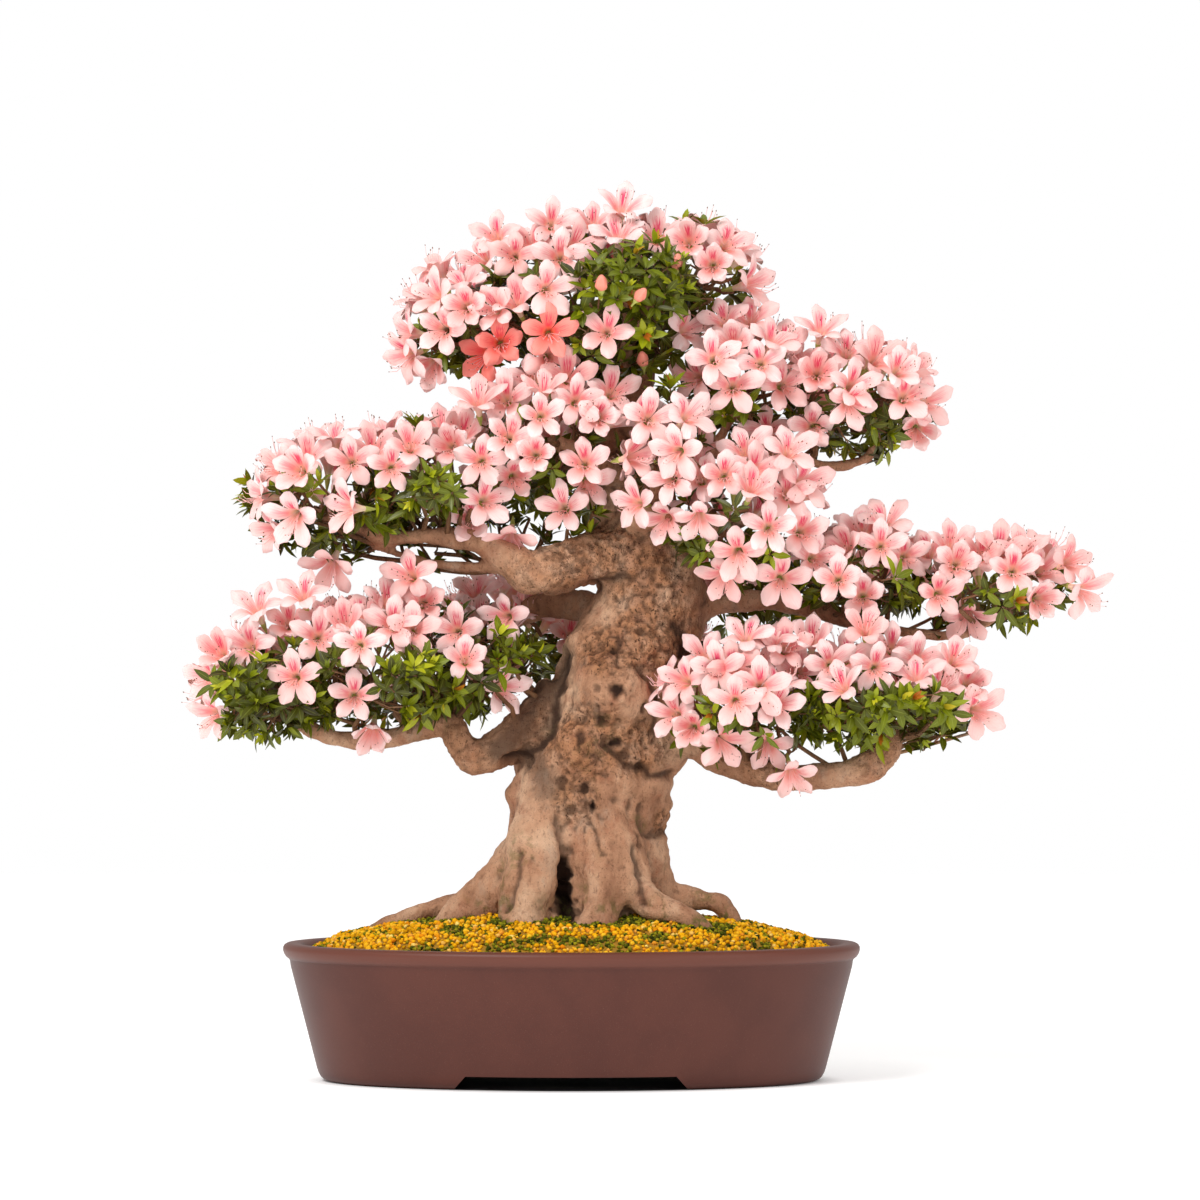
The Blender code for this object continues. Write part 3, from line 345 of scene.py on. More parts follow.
def petalLook(name, base, heart, edge, throat, spot):
    look, tree, shader = newLook(name, 0.5, Specular_IOR_Level=0.3)
    shader.inputs["Subsurface Weight"].default_value = 0.12
    shader.inputs["Subsurface Scale"].default_value = 4 * mm
    shader.inputs["Subsurface Radius"].default_value = (1.0, 0.55, 0.5)
    petalPlace = add(tree, "UVMap").outputs[0]
    across, along = add(tree, "SeparateXYZ", Vector=petalPlace).outputs[:2]
    side = times(tree, maths(tree, "ABSOLUTE", maths(tree, "SUBTRACT", across, 0.5)), 2.0)
    tone, blotch = attribute(tree, "tone"), attribute(tree, "blotch")
    veinPlace = add(tree, "CombineXYZ", X=across, Y=times(tree, along, 0.16), Z=tone).outputs[0]
    veins = add(tree, "TexNoise", Vector=veinPlace, Scale=17.0, Detail=3.0).outputs["Fac"]
    colour = ramp(tree, along, (0.14, throat), (0.36, heart), (0.54, base), (0.88, edge))
    colour = mixed(tree, times(tree, maths(tree, "POWER", side, 2.0), 0.6), colour, edge)
    colour = mixed(tree, times(tree, tone, 0.6), colour, heart)
    colour = mixed(tree, times(tree, mask(tree, veins, 0.5, 0.66), 0.2), colour, heart)
    # the deeper blotch and its freckles on the upper petals
    fade = times(tree, mask(tree, along, 0.28, 0.42), unless(tree, along, 0.55, 0.78))
    streaks = times(tree, fade, unless(tree, side, 0.3, 0.8), mask(tree, veins, 0.36, 0.56), blotch)
    colour = mixed(tree, times(tree, streaks, 0.95), colour, spot)
    frecklePlace = add(tree, "Mapping", Vector=petalPlace, Scale=(9, 13, 1)).outputs[0]
    apart = add(tree, "TexVoronoi", Vector=frecklePlace, Scale=1.0).outputs["Distance"]
    freckles = times(tree, unless(tree, apart, 0.12, 0.24), mask(tree, along, 0.35, 0.5), blotch)
    freckles = times(tree, freckles, unless(tree, along, 0.78, 0.9), 0.55)
    colour = mixed(tree, freckles, colour, spot)
    finished(tree, shader, colour, veins, 0.25, 0.6 * mm)
    return look


def plainLook(name, first, second, roughness, scale=200):
    look, tree, shader = newLook(name, roughness)
    tree.links.new(mixed(tree, noiseAt(tree, scale, 3), first, second), shader.inputs["Base Color"])
    return look


looks = {
    "stoneware": stonewareLook(),
    "bark": barkLook("azaleaBark", paint(216, 176, 144), paint(190, 142, 110), paint(142, 98, 72)),
    "twig": barkLook("azaleaTwig", paint(160, 122, 88), paint(126, 90, 62), paint(88, 60, 40)),
    "bed": plainLook("kanumaBed", paint(190, 134, 20), paint(122, 98, 20), 0.9, 130),
    "grain": grainLook(
        "kanumaGrain", (0.0, paint(132, 98, 6)), (0.14, paint(208, 150, 4)), (0.42, paint(250, 184, 10)),
        (0.66, paint(255, 200, 44)), (0.84, paint(236, 146, 10)), (1.0, paint(255, 232, 126)),
    ),
    "moss": grainLook("moss", (0.0, paint(40, 46, 8)), (0.45, paint(92, 98, 14)), (1.0, paint(168, 160, 30))),
    "leaf": leafLook(),
    "stamen": plainLook("stamen", paint(255, 214, 208), paint(250, 184, 180), 0.5),
    "anther": plainLook("anther", paint(150, 96, 62), paint(100, 58, 44), 0.6),
    "calyx": plainLook("calyx", paint(204, 206, 112), paint(164, 172, 78), 0.5),
    "mesh": plainLook("blackPlasticMesh", paint(26, 26, 28), paint(40, 40, 42), 0.45),
}
# the petals' paints: most of the petal, its heart, its edge, the throat, and the blotch
petalPaints = {
    "pink": (
        "palePinkPetal", (252, 203, 197), (250, 168, 158), (253, 222, 219), (255, 238, 196), (230, 58, 104),
    ),
    "coral": (
        "coralPetal", (255, 140, 126), (255, 110, 100), (255, 156, 144), (252, 170, 110), (232, 48, 88),
    ),
    "bud": (
        "budPetal", (248, 162, 142), (244, 144, 124), (250, 180, 162), (214, 190, 110), (230, 80, 90),
    ),
}
for title, (name, *paints) in petalPaints.items():
    looks[title] = petalLook(name, *[paint(*levels) for levels in paints])


# Camera, light and floor


stageSettings = {
    "lens": 200, "sensor": 36, "farthest": 50, "aim": (0, 0, 0.42),
    "keyPlace": (-1.5, -2.4, 2.8), "keySize": 1.5, "keyPower": 84,
    "fillPlace": (2.4, -2.2, 1.2), "fillSize": 2.0, "fillPower": 16,
    "skyColour": (1.0, 0.985, 0.97, 1), "skyStrength": 0.66,
    "floorSize": 9.0, "floorColour": (0.92, 0.92, 0.92, 1), "floorGlow": 0.42,
    # the oval beneath the pot: its halves, to which shares of it the floor carries a painted shadow, and from
    # which it glows
    "oval": (0.25, 0.17), "paintedShadowTo": (0.78, 0.84), "paintedShadowColour": (0.1, 0.1, 0.1, 1), "glowFrom": (0.84, 1.0),
}


def setStage():
    camera = bpy.data.objects.new("camera", bpy.data.cameras.new("camera"))
    bpy.context.scene.collection.objects.link(camera)
    camera.location = real(eye)
    camera.rotation_euler = (math.radians(90), 0, 0)
    camera.data.lens = stageSettings["lens"]
    camera.data.sensor_width = stageSettings["sensor"]
    camera.data.clip_end = stageSettings["farthest"]
    bpy.context.scene.camera = camera
    for name in ("key", "fill"):
        light = bpy.data.lights.new(name, "AREA")
        light.shape = "DISK"
        light.size = stageSettings[name + "Size"]
        light.energy = stageSettings[name + "Power"]
        lamp = bpy.data.objects.new(name, light)
        bpy.context.scene.collection.objects.link(lamp)
        lamp.location = potMiddle + Vector(stageSettings[name + "Place"])
        aim = potMiddle + Vector(stageSettings["aim"]) - lamp.location
        lamp.rotation_euler = aim.to_track_quat("-Z", "Y").to_euler()
    bpy.context.scene.view_settings.view_transform = "Standard"


def setSky():
    # the eye sees plain white behind the tree, and the tree is lit by a softer sky
    world = bpy.data.worlds.new("studio")
    bpy.context.scene.world = world
    world.use_nodes = True
    tree = world.node_tree
    lit = tree.nodes["Background"]
    lit.inputs["Color"].default_value = stageSettings["skyColour"]
    lit.inputs["Strength"].default_value = stageSettings["skyStrength"]
    seen = add(tree, "Background", Color=(1, 1, 1, 1), Strength=1.0).outputs[0]
    toCamera = add(tree, "LightPath").outputs["Is Camera Ray"]
    blend = add(tree, "MixShader", Fac=toCamera, at1=lit.outputs[0], at2=seen)
    tree.links.new(blend.outputs[0], tree.nodes["World Output"].inputs["Surface"])


def setFloor():
    # the floor shines a little, as a lit white sweep does; beneath the pot the glow stops and a painted
    # shadow darkens it
    bpy.ops.mesh.primitive_plane_add(size=stageSettings["floorSize"], location=potMiddle)
    floor = bpy.context.object
    floor.name = "floor"
    look, tree, shader = newLook("paleFloor", 0.7, Specular_IOR_Level=0.1, Emission_Color=(1, 1, 1, 1))
    halfLength, halfDepth = stageSettings["oval"]
    squash = (1 / halfLength, 1 / halfDepth, 1)
    place = add(tree, "Mapping", Vector=objectPlace(tree), Scale=squash).outputs[0]
    reach = add(tree, "VectorMath", {"operation": "LENGTH"}, at0=place).outputs["Value"]
    glow = times(tree, mask(tree, reach, *stageSettings["glowFrom"]), stageSettings["floorGlow"])
    tree.links.new(glow, shader.inputs["Emission Strength"])
    # a painted shadow: the floor's colour goes dark beneath the pot
    clearOfPaintedShadow = mask(tree, reach, *stageSettings["paintedShadowTo"])
    colour = mixed(tree, clearOfPaintedShadow, stageSettings["paintedShadowColour"], stageSettings["floorColour"])
    tree.links.new(colour, shader.inputs["Base Color"])
    floor.data.materials.append(look)


setStage()
setSky()
setFloor()
print("camera, light and floor are set")


# Pot


potShape = {
    "height": 124, "baseHalf": (226, 142), "rimHalf": (258, 185), "wall": 15, "steps": 160,
    "footHeight": 12.5, "footWidth": 24, "floor": 10, "footCut": (210, 186), "belowBench": 1.5,
    "drainPlace": 98, "drainRadius": 14, "drainSteps": 40, "drainDepth": 60, "drainMiddle": 18,
    # inside this many walls' width of the wall's line the oval grows in proportion
    "evenWall": 2.2,
    # outside and over the rim: height, and how far out of the wall's line
    "outside": (
        (0, -9), (0.5, -6), (1.8, -3.2), (4, -1.4), (7.5, -0.3), (12, 0), (50, 0), (85, 0), (103, 0),
        (107.5, -0.5), (109.4, -0.4), (110.6, 0.8), (112, 2.1), (114.4, 3), (117.5, 3.2), (120.4, 2.3),
        (122.5, 0.4), (123.7, -2), (124, -4.6), (124, -10), (123.4, -12.6), (121.8, -14.4), (118, -15),
        (80, -15), (40, -15),
    ),
}


def wallLine(height, axis=0):
    # the pot's outer half length or half depth at a height
    low, high = potShape["baseHalf"][axis], potShape["rimHalf"][axis]
    return low + (high - low) * height / potShape["height"]


def ovalDepth(radius, height):
    # how far out along Y a point lies that is this far out along X
    inner = wallLine(height) - potShape["evenWall"] * potShape["wall"]
    if radius > inner:
        return wallLine(height, 1) - (wallLine(height) - radius)
    return radius * (wallLine(height, 1) - potShape["evenWall"] * potShape["wall"]) / inner


def potProfile():
    # from the middle of the underside, out, up and over the rim, to the middle of the floor inside
    footInside = wallLine(0) - potShape["footWidth"]
    floorTop = potShape["footHeight"] + potShape["floor"]
    floorEdge = wallLine(floorTop) - potShape["wall"]
    return [
        (footInside, potShape["footHeight"]), (footInside, 1), (footInside + 1, 0),
        *[(wallLine(height) + out, height) for height, out in potShape["outside"]],
        (floorEdge - 0.5, floorTop + 2), (floorEdge - 3, floorTop),
    ]


def potCutters():
    # the cut between the feet, which widens downwards, and the drain holes
    bpy.ops.mesh.primitive_cube_add(size=1)
    cutters = [bpy.context.object]
    for vertex in cutters[0].data.vertices:
        isTop = vertex.co.z > 0
        vertex.co.x *= potShape["footCut"][1 if isTop else 0] * mm
        vertex.co.y *= 2 * potShape["rimHalf"][1] * mm
        vertex.co.z = potShape["footHeight"] * mm if isTop else -potShape["belowBench"] * mm
    for side in (-1, 1):
        place = Vector((side * potShape["drainPlace"], 0, potShape["drainMiddle"])) * mm
        radius, depth = potShape["drainRadius"] * mm, potShape["drainDepth"] * mm
        bpy.ops.mesh.primitive_cylinder_add(
            vertices=potShape["drainSteps"], radius=radius, depth=depth, location=place,
        )
        cutters.append(bpy.context.object)
    return cutters


def makePot():
    (radius, height), *profile = potProfile()
    place = (0, 0, height * mm)
    bpy.ops.mesh.primitive_circle_add(
        vertices=potShape["steps"], radius=radius * mm, fill_type="NGON", location=place,
    )
    pot = bpy.context.object
    bpy.ops.object.transform_apply(location=True)
    bpy.ops.object.mode_set(mode="EDIT")
    for nextRadius, nextHeight in profile:
        wider = nextRadius / radius
        bpy.ops.mesh.extrude_edges_move()
        bpy.ops.transform.resize(value=(wider, wider, 1), center_override=(0, 0, height * mm))
        bpy.ops.transform.translate(value=(0, 0, (nextHeight - height) * mm))
        radius, height = nextRadius, nextHeight
    bpy.ops.mesh.edge_face_add()
    bpy.ops.mesh.select_all(action="SELECT")
    bpy.ops.mesh.normals_make_consistent(inside=False)
    bpy.ops.object.mode_set(mode="OBJECT")
    for vertex in pot.data.vertices:
        reach = math.hypot(vertex.co.x, vertex.co.y) / mm
        vertex.co.y *= ovalDepth(reach, vertex.co.z / mm) / reach
    for cutter in potCutters():
        applied(pot, "BOOLEAN", operation="DIFFERENCE", object=cutter, solver="EXACT")
        bpy.data.objects.remove(cutter)
    pot.data.transform(Matrix.Translation(potMiddle))
    return pieceReady(pot, "potBody", [looks["stoneware"]], "unglazed_stoneware", ["pot"], 32)


makePot()


# Trunk, surface roots and branches


trunkShape = {
    "voxel": 2.5 * mm, "smoothing": 4, "blending": 45, "depthShare": 0.86, "widen": 0.5,
    "flutes": 3.0, "lumps": 3.0, "knots": 4.0, "roughness": 1.2, "fine": 0.6, "keep": 0.85,
    # how large the flutes, knots and broken patches of the bark are
    "fluteSize": (24, 95), "knotSize": 12, "patchSize": 55,
}
# each limb is a line of x, y, z and radius
trunkLine = (
    (7, 0, 128, 76), (7, 0, 189, 70), (9, 0, 216, 65), (15, 0, 261, 68), (23, 0, 288, 72), (34, 0, 312, 68),
    (44, 0, 342, 66), (54, 0, 378, 61), (67, 0, 414, 52), (72, 0, 441, 48), (66, 0, 468, 46),
    (57, 5, 495, 39),
    (44, 10, 522, 31), (36, 10, 567, 24), (50, 10, 612, 20), (64, 6, 657, 15), (54, 0, 705, 10),
)
rootLines = (
    (
        (2, -4, 262, 34), (-24, -12, 207, 40), (-50, -18, 186, 29), (-78, -22, 164, 22),
        (-102, -25, 149, 15), (-120, -28, 132, 11),
    ),
    ((-60, 4, 172, 20), (-95, 6, 158, 11), (-127, 6, 152, 9), (-154, 4, 144, 7), (-182, 0, 134, 5)),
    ((-8, -14, 268, 30), (-28, -40, 205, 32), (-39, -54, 170, 25), (-42, -62, 148, 19), (-41, -70, 128, 14)),
    ((-50, -45, 172, 14), (-57, -62, 156, 9), (-52, -78, 134, 7)),
    ((18, -14, 268, 30), (30, -42, 207, 33), (31, -56, 176, 26), (28, -68, 157, 16), (22, -82, 132, 10)),
    ((28, -60, 165, 12), (16, -78, 146, 9), (5, -90, 134, 6)),
    (
        (34, -16, 250, 28), (44, -42, 192, 25), (66, -58, 166, 14), (93, -64, 153, 11), (115, -68, 142, 9),
        (128, -70, 130, 7),
    ),
    (
        (46, 0, 250, 30), (62, 0, 196, 28), (84, 2, 168, 15), (115, 5, 162, 10), (137, 4, 155, 8),
        (152, 0, 132, 7),
    ),
    ((8, 14, 262, 32), (10, 45, 200, 38), (14, 78, 160, 22), (20, 115, 132, 10)),
    ((-6, 12, 255, 30), (-25, 32, 200, 34), (-58, 66, 158, 17), (-92, 95, 132, 9)),
    ((32, 14, 250, 30), (45, 38, 195, 30), (80, 72, 155, 15), (112, 96, 132, 9)),
)
branchLines = (
    (
        (-10, -4, 345, 26), (-35, -14, 322, 21), (-62, -20, 300, 18), (-86, -22, 291, 16),
        (-100, -20, 303, 14),
        (-109, -15, 320, 12), (-132, -10, 317, 10), (-172, -10, 306, 9), (-215, -10, 308, 7),
        (-250, -14, 325, 5),
    ),
    (
        (45, -12, 472, 30), (10, -28, 467, 24), (-18, -38, 458, 22), (-38, -42, 457, 19), (-58, -42, 469, 14),
        (-85, -40, 484, 10.5), (-125, -36, 489, 7), (-165, -32, 488, 6), (-205, -26, 500, 5),
        (-232, -20, 512, 4),
    ),
    (
        (-40, -30, 462, 8), (-85, -34, 461, 4.5), (-125, -32, 465, 4), (-172, -24, 480, 3.5),
        (-190, -20, 502, 3),
    ),
    ((40, 25, 415, 17), (8, 46, 428, 14), (-25, 58, 427, 12), (-45, 70, 420, 10), (-62, 90, 408, 8)),
    (
        (70, -10, 335, 26), (105, -20, 310, 19), (135, -30, 291, 16), (165, -42, 279, 14),
        (200, -50, 273, 12),
        (235, -52, 276, 12), (260, -52, 280, 14), (277, -50, 292, 13), (287, -50, 306, 9), (276, -48, 322, 6),
    ),
    (
        (90, 12, 432, 18), (130, 5, 428, 11), (168, 2, 432, 9), (212, -2, 424, 7.5), (260, -4, 410, 6),
        (310, -5, 402, 4.2), (350, -6, 401, 3.6), (380, -8, 416, 3),
    ),
    ((120, 8, 430, 10), (140, 45, 434, 7), (152, 78, 440, 5)),
    (
        (40, 5, 596, 15), (85, -5, 575, 10), (125, -10, 566, 8), (170, -14, 560, 6.5), (212, -18, 556, 4.8),
        (240, -18, 552, 4), (266, -18, 560, 3.4), (272, -16, 582, 3),
    ),
    ((125, -10, 566, 6), (140, -12, 590, 5), (150, -12, 608, 4)),
    ((60, -16, 505, 20), (72, -50, 508, 13), (100, -72, 500, 9), (132, -76, 500, 7)),
    ((66, -40, 508, 9), (76, -62, 528, 7), (82, -72, 548, 5)),
    ((40, -5, 545, 16), (12, -34, 560, 10), (-12, -46, 572, 7)),
    ((42, 18, 528, 15), (36, 66, 540, 10), (28, 100, 552, 7)),
    ((50, 22, 372, 18), (54, 74, 374, 11), (60, 106, 384, 7)),
    ((56, 6, 650, 10), (10, 0, 672, 7), (-40, -4, 681, 6), (-74, -5, 682, 4)),
    ((60, 2, 680, 9), (88, 0, 706, 6), (106, 0, 718, 4)),
)
# burrs and healed swellings: x, y, z, radius
swellings = (
    (36, -42, 352, 38), (72, -6, 245, 21), (-46, -6, 257, 15), (88, 0, 424, 32), (80, -6, 292, 24),
    (10, -48, 300, 24),
    (22, -18, 384, 28), (20, -40, 256, 24), (96, -12, 462, 20), (60, 40, 330, 36), (-20, 30, 290, 34),
    (58, -36, 392, 24),
)
# scars and hollows on the front: x, z, radius, depth, rim, darkness of the painted shade in them, stretch
# along z
scars = (
    (42, 351, 8.5, 3.4, 2.4, 1.0, 1.0), (23, 353, 4.5, 1.2, 0.6, 0.6, 1.0), (27, 324, 6, 3.2, 1.4, 0.9, 1.5),
    (8, 308, 6.5, 3, 1.4, 0.85, 1.4), (40, 304, 6, 4.5, 1.4, 1.0, 0.7), (47, 292, 9, 2.6, 1.4, 0.8, 0.6),
    (63, 283, 7, 4, 1, 0.9, 0.6), (-9, 267, 6, 2.6, 1.4, 0.8, 1.5), (10, 262, 6, 3, 1.6, 0.9, 1.2),
    (18.5, 245, 3.8, 7, 1, 1.0, 1.6), (-1, 243, 7, 2.4, 1.2, 0.75, 0.7), (-42, 284, 7, 4, 0, 0.8, 1.5),
    (36, 387, 5, 3.4, 1.4, 0.9, 1.6), (62, 404, 7, 2.8, 1.6, 0.7, 0.7), (104, 384, 12, 3.4, 1, 0.9, 0.9),
    (-5, 196, 4, 7, 0, 1.0, 1.8), (-5, 184, 6, 10, 0, 1.0, 1.6), (-6, 170, 9, 13, 0, 1.0, 1.5),
    (-6, 154, 13, 14, 0, 1.0, 1.2), (60, 216, 3.5, 3, 0, 0.6, 3.2), (76, 222, 10, 1, 0, 0.5, 0.7),
    (64, 335, 3, 3, 0, 0.8, 3.5), (12, 224, 1.6, 1.2, 0.3, 0.7, 4.0),
)
# long creases on the front: width, depth, darkness of the painted shade along them, then the line of x, z
creases = (
    (8, 9, 0.95, ((-9, 383), (-17, 342), (-20, 322), (-30, 304), (-43, 289), (-56, 283))),
    (26, 1.5, 0.8, ((-20, 366), (-34, 338), (-46, 316), (-66, 298))),
    (24, 1, 0.55, ((-36, 288), (-24, 276), (-20, 262))), (13, 1, 0.5, ((24, 450), (-2, 436), (-30, 434))),
    (5, 4, 0.75, ((58, 373), (71, 360), (76, 338), (74, 306))), (4, 4, 0.8, ((41, 396), (41, 374))),
    (6, 6, 0.85, ((33, 304), (44, 289), (58, 282), (72, 276), (88, 276))),
    (3.5, 3.5, 0.6, ((63, 249), (62, 231), (69, 219), (82, 224))),
    (5, 5, 0.6, ((-12, 238), (-9, 228), (-5, 206), (-7, 176), (-8, 150))),
    (5, 5, 0.7, ((56, 212), (62, 186), (64, 160))),
    (5, 5, 0.65, ((-46, 206), (-49, 178), (-60, 158))),
    (6, 5, 0.85, ((52, 452), (33, 450), (20, 444), (15, 434))),
    (9, 5, 0.9, ((92, 410), (104, 394), (108, 380))),
    (3, 2.5, 0.5, ((10, 268), (14, 240), (22, 222), (28, 206))),
)
# where the bark is broken up: x, z, radius
roughPlaces = (
    (75, 400, 44), (14, 306, 38), (3, 256, 24), (58, 300, 28), (30, 388, 26), (96, 378, 30), (-34, 300, 22),
    (70, 445, 40), (40, 470, 30), (-44, 330, 24), (84, 232, 13), (-96, 300, 30), (-34, 456, 30),
    (-2, 462, 26), (180, 284, 30), (276, 290, 26),
)


def limb(line, resolution=4):
    curve = bpy.data.curves.new("limb", "CURVE")
    curve.dimensions = "3D"
    curve.bevel_depth = mm
    curve.bevel_resolution = resolution
    curve.use_fill_caps = True
    points = smoothLine([Vector(point) for point in line], 5)
    spline = curve.splines.new("POLY")
    spline.points.add(len(points) - 1)
    for target, (x, y, z, radius) in zip(spline.points, points):
        target.co = (x * mm, y * mm, z * mm, 1)
        target.radius = radius + trunkShape["widen"]
    only(linked("limb", curve))
    bpy.ops.object.convert(target="MESH")
    return bpy.context.object


def lineDistance(x, z, line):
    # how far a point on the front lies from a line drawn there
    nearest = math.inf
    for (x1, z1), (x2, z2) in zip(line, line[1:]):
        dx, dz = x2 - x1, z2 - z1
        along = min(1.0, max(0.0, ((x - x1) * dx + (z - z1) * dz) / (dx * dx + dz * dz)))
        nearest = min(nearest, math.hypot(x - x1 - along * dx, z - z1 - along * dz))
    return nearest


def brokenAt(p, nearTrunk):
    # how broken the bark is: by the drawn places on the front, and by chance behind
    front = smoothStep(15, -10, p.y)
    drawn = max(smoothStep(1.25, 0.6, math.hypot(p.x - x, p.z - z) / radius) for x, z, radius in roughPlaces)
    chance = smoothStep(0.1, 0.45, noise.noise(p / trunkShape["patchSize"]))
    return min(1.0, drawn * front + (1 - front) * chance) * max(0.55, nearTrunk)


def reliefAt(p, broken, weight):
    # flutes, lumps, ridges and knots of the bark, and the painted shade in its crevices
    across, along = trunkShape["fluteSize"]
    deeper = 1.3 if p.z < 300 else 0.7
    flutes = noise.noise(Vector((p.x / across, p.y / across, p.z / along)))
    shift = flutes * trunkShape["flutes"] * weight * deeper
    lumps = noise.noise(p / 19) + 0.5 * noise.noise(p / 9 + Vector((5, 5, 5)))
    shift += lumps * trunkShape["lumps"] * weight
    ridge = 1 - 2 * abs(noise.noise(p / 7 + Vector((3, 7, 1))))
    shift += (ridge - 0.5) * trunkShape["roughness"] * (0.3 + 1.2 * broken) * weight
    shift += noise.noise(p / 3.2) * trunkShape["fine"] * (0.7 + broken)
    # knots: rounded bumps of uneven size with crevices between them
    near, _ = noise.voronoi((p + 5 * noise.noise_vector(p / 9)) / trunkShape["knotSize"])
    shift += (0.45 - near[0]) * trunkShape["knots"] * broken
    furrow = smoothStep(0.4, 0.1, ridge) * (0.06 + 0.4 * broken)
    return shift, max(furrow, smoothStep(0.16, 0.02, near[1] - near[0]) * broken * 0.62)


def scarred(p, hits, shift, dark):
    for place, radius, depth, rim, darkness, stretch in hits:
        away = p - place
        if abs(away.x) > 2.2 * radius or abs(away.y) > 3 * radius or abs(away.z) > 2.2 * radius * stretch:
            continue
        wobble = 1 + 0.55 * noise.noise(p / 5) + 0.25 * noise.noise(p / 2.2)
        reach = math.sqrt(away.x**2 + (away.y * 0.6) ** 2 + (away.z / stretch) ** 2) / (radius * wobble)
        shift -= depth * smoothStep(1.0, 0.3, reach)
        shift += rim * math.exp(-(((reach - 1.2) / 0.28) ** 2))
        # painted shade, darkest in the middle of the scar
        dark = max(dark, darkness * smoothStep(1.08, 0.55, reach))
    return shift, dark


def creased(p, shift, dark):
    for width, depth, darkness, line in creases:
        x, z = p.x + 3 * noise.noise(p / 11), p.z + 3 * noise.noise(p / 12)
        reach = lineDistance(x, z, line) / width
        if reach < 1.6:
            shift -= depth * smoothStep(1.5, 0.1, reach)
            # painted shade along the crease
            dark = max(dark, darkness * smoothStep(0.85 + 0.5 * noise.noise(p / 4), 0.15, reach))
    return shift, dark


def mossAt(p):
    # green near the soil, and a little on the shaded swellings above
    low = smoothStep(178, 140, p.z) * smoothStep(0.0, 0.35, noise.noise(p / 22))
    patch = smoothStep(0.28, 0.5, noise.noise(p / 38 + Vector((9, 2, 4))))
    return max(0.9 * low, 0.5 * patch * smoothStep(420, 120, p.z))


def creviceDepths(mesh):
    # how far each point lies below the mean of its neighbours, in millimetres
    edges, places = readAll(mesh.edges, "vertices", 2, int), readAll(mesh.vertices, "co", 3)
    count = len(places)
    normals = np.array([vertex.normal for vertex in mesh.vertices])
    around = places.copy()
    for _ in range(4):
        total, number = np.zeros((count, 3)), np.zeros(count)
        for a, b in ((0, 1), (1, 0)):
            np.add.at(total, edges[:, a], around[edges[:, b]])
            np.add.at(number, edges[:, a], 1)
        around = total / number[:, None]
    return ((around - places) * normals).sum(1) / mm


def carveBark(wood):
    # moves the bark along its normals, and marks the painted shade of its hollows and crevices, its moss and
    # its broken parts for the material
    mesh = wood.data
    tree = treeOf(mesh)
    hits = []
    for x, z, *scar in scars:
        start = eye * mm
        hit = tree.ray_cast(start, (Vector((x, 0, z)) * mm - start).normalized())[0]
        if hit:
            hits.append((hit / mm, *scar))
    hollow, moss, rough, moves = [], [], [], []
    for vertex in mesh.vertices:
        p, normal = vertex.co / mm, vertex.normal
        if p.z > 215:
            nearTrunk = smoothStep(105, 70, math.hypot(p.x - 40, p.y))
        else:
            nearTrunk = smoothStep(150, 60, math.hypot(p.x, p.y))
        broken = brokenAt(p, nearTrunk)
        shift, dark = reliefAt(p, broken, 0.62 + 0.38 * nearTrunk)
        shift, dark = scarred(p, hits, shift, dark)
        if normal.y < 0.2 and p.y < 10:
            shift, dark = creased(p, shift, dark)
        moves.append(normal * shift * mm)
        hollow.append(dark)
        rough.append(broken)
        moss.append(mossAt(p))
    for vertex, move in zip(mesh.vertices, moves):
        vertex.co += move
    mesh.update()
    # painted shade in the crevices, by how far each point lies below its neighbours
    crevice = np.clip((creviceDepths(mesh) - 0.15) / 0.8, 0, 1) * 0.7
    for name, values in (("hollow", np.maximum(hollow, crevice)), ("moss", moss), ("rough", rough)):
        mesh.attributes.new(name, "FLOAT", "POINT").data.foreach_set("value", np.array(values, np.float32))


def makeTrunk():
    stem = limb([(x, y / trunkShape["depthShare"], z, r) for x, y, z, r in trunkLine], 10)
    for vertex in stem.data.vertices:
        vertex.co.y *= trunkShape["depthShare"]
    limbs = [stem, *[limb(line) for line in (*rootLines, *branchLines)]]
    for *place, radius in swellings:
        middle = Vector(place) * mm
        bpy.ops.mesh.primitive_ico_sphere_add(subdivisions=3, radius=radius * mm, location=middle)
        bpy.ops.object.transform_apply(location=True)
        limbs.append(bpy.context.object)
    wood = joined(limbs)
    applied(wood, "REMESH", mode="VOXEL", voxel_size=trunkShape["voxel"])
    applied(wood, "SMOOTH", factor=0.5, iterations=trunkShape["smoothing"])
    # the thick limbs flow into each other; the thin ones are left as they are
    thick = wood.vertex_groups.new(name="thick")
    for vertex in wood.data.vertices:
        x, y, z = vertex.co / mm
        middle = 9 + 60 * smoothStep(250, 420, z)
        between = smoothStep(150, 175, z) * smoothStep(490, 460, z)
        thick.add([vertex.index], smoothStep(105, 75, math.hypot(x - middle, y)) * between, "REPLACE")
    applied(wood, "SMOOTH", factor=0.5, iterations=trunkShape["blending"], vertex_group="thick")
    carveBark(wood)
    applied(wood, "DECIMATE", ratio=trunkShape["keep"])
    wood.data.transform(Matrix.Translation(potMiddle))
    pieceReady(wood, "trunkWood", [looks["bark"]], "azalea_bark", ["trunk"])
    wood.data.shade_smooth()
    return wood


wood = makeTrunk()
woodTree = treeOf(wood.data)


def inWood(place, room=0.0):
    # whether a place lies in the wood, or this near to it
    near, normal, _, away = woodTree.find_nearest(place)
    return away < room or (place - near).dot(normal) < 0


# Repeating a shape: each copy is its own mesh, joined into one piece


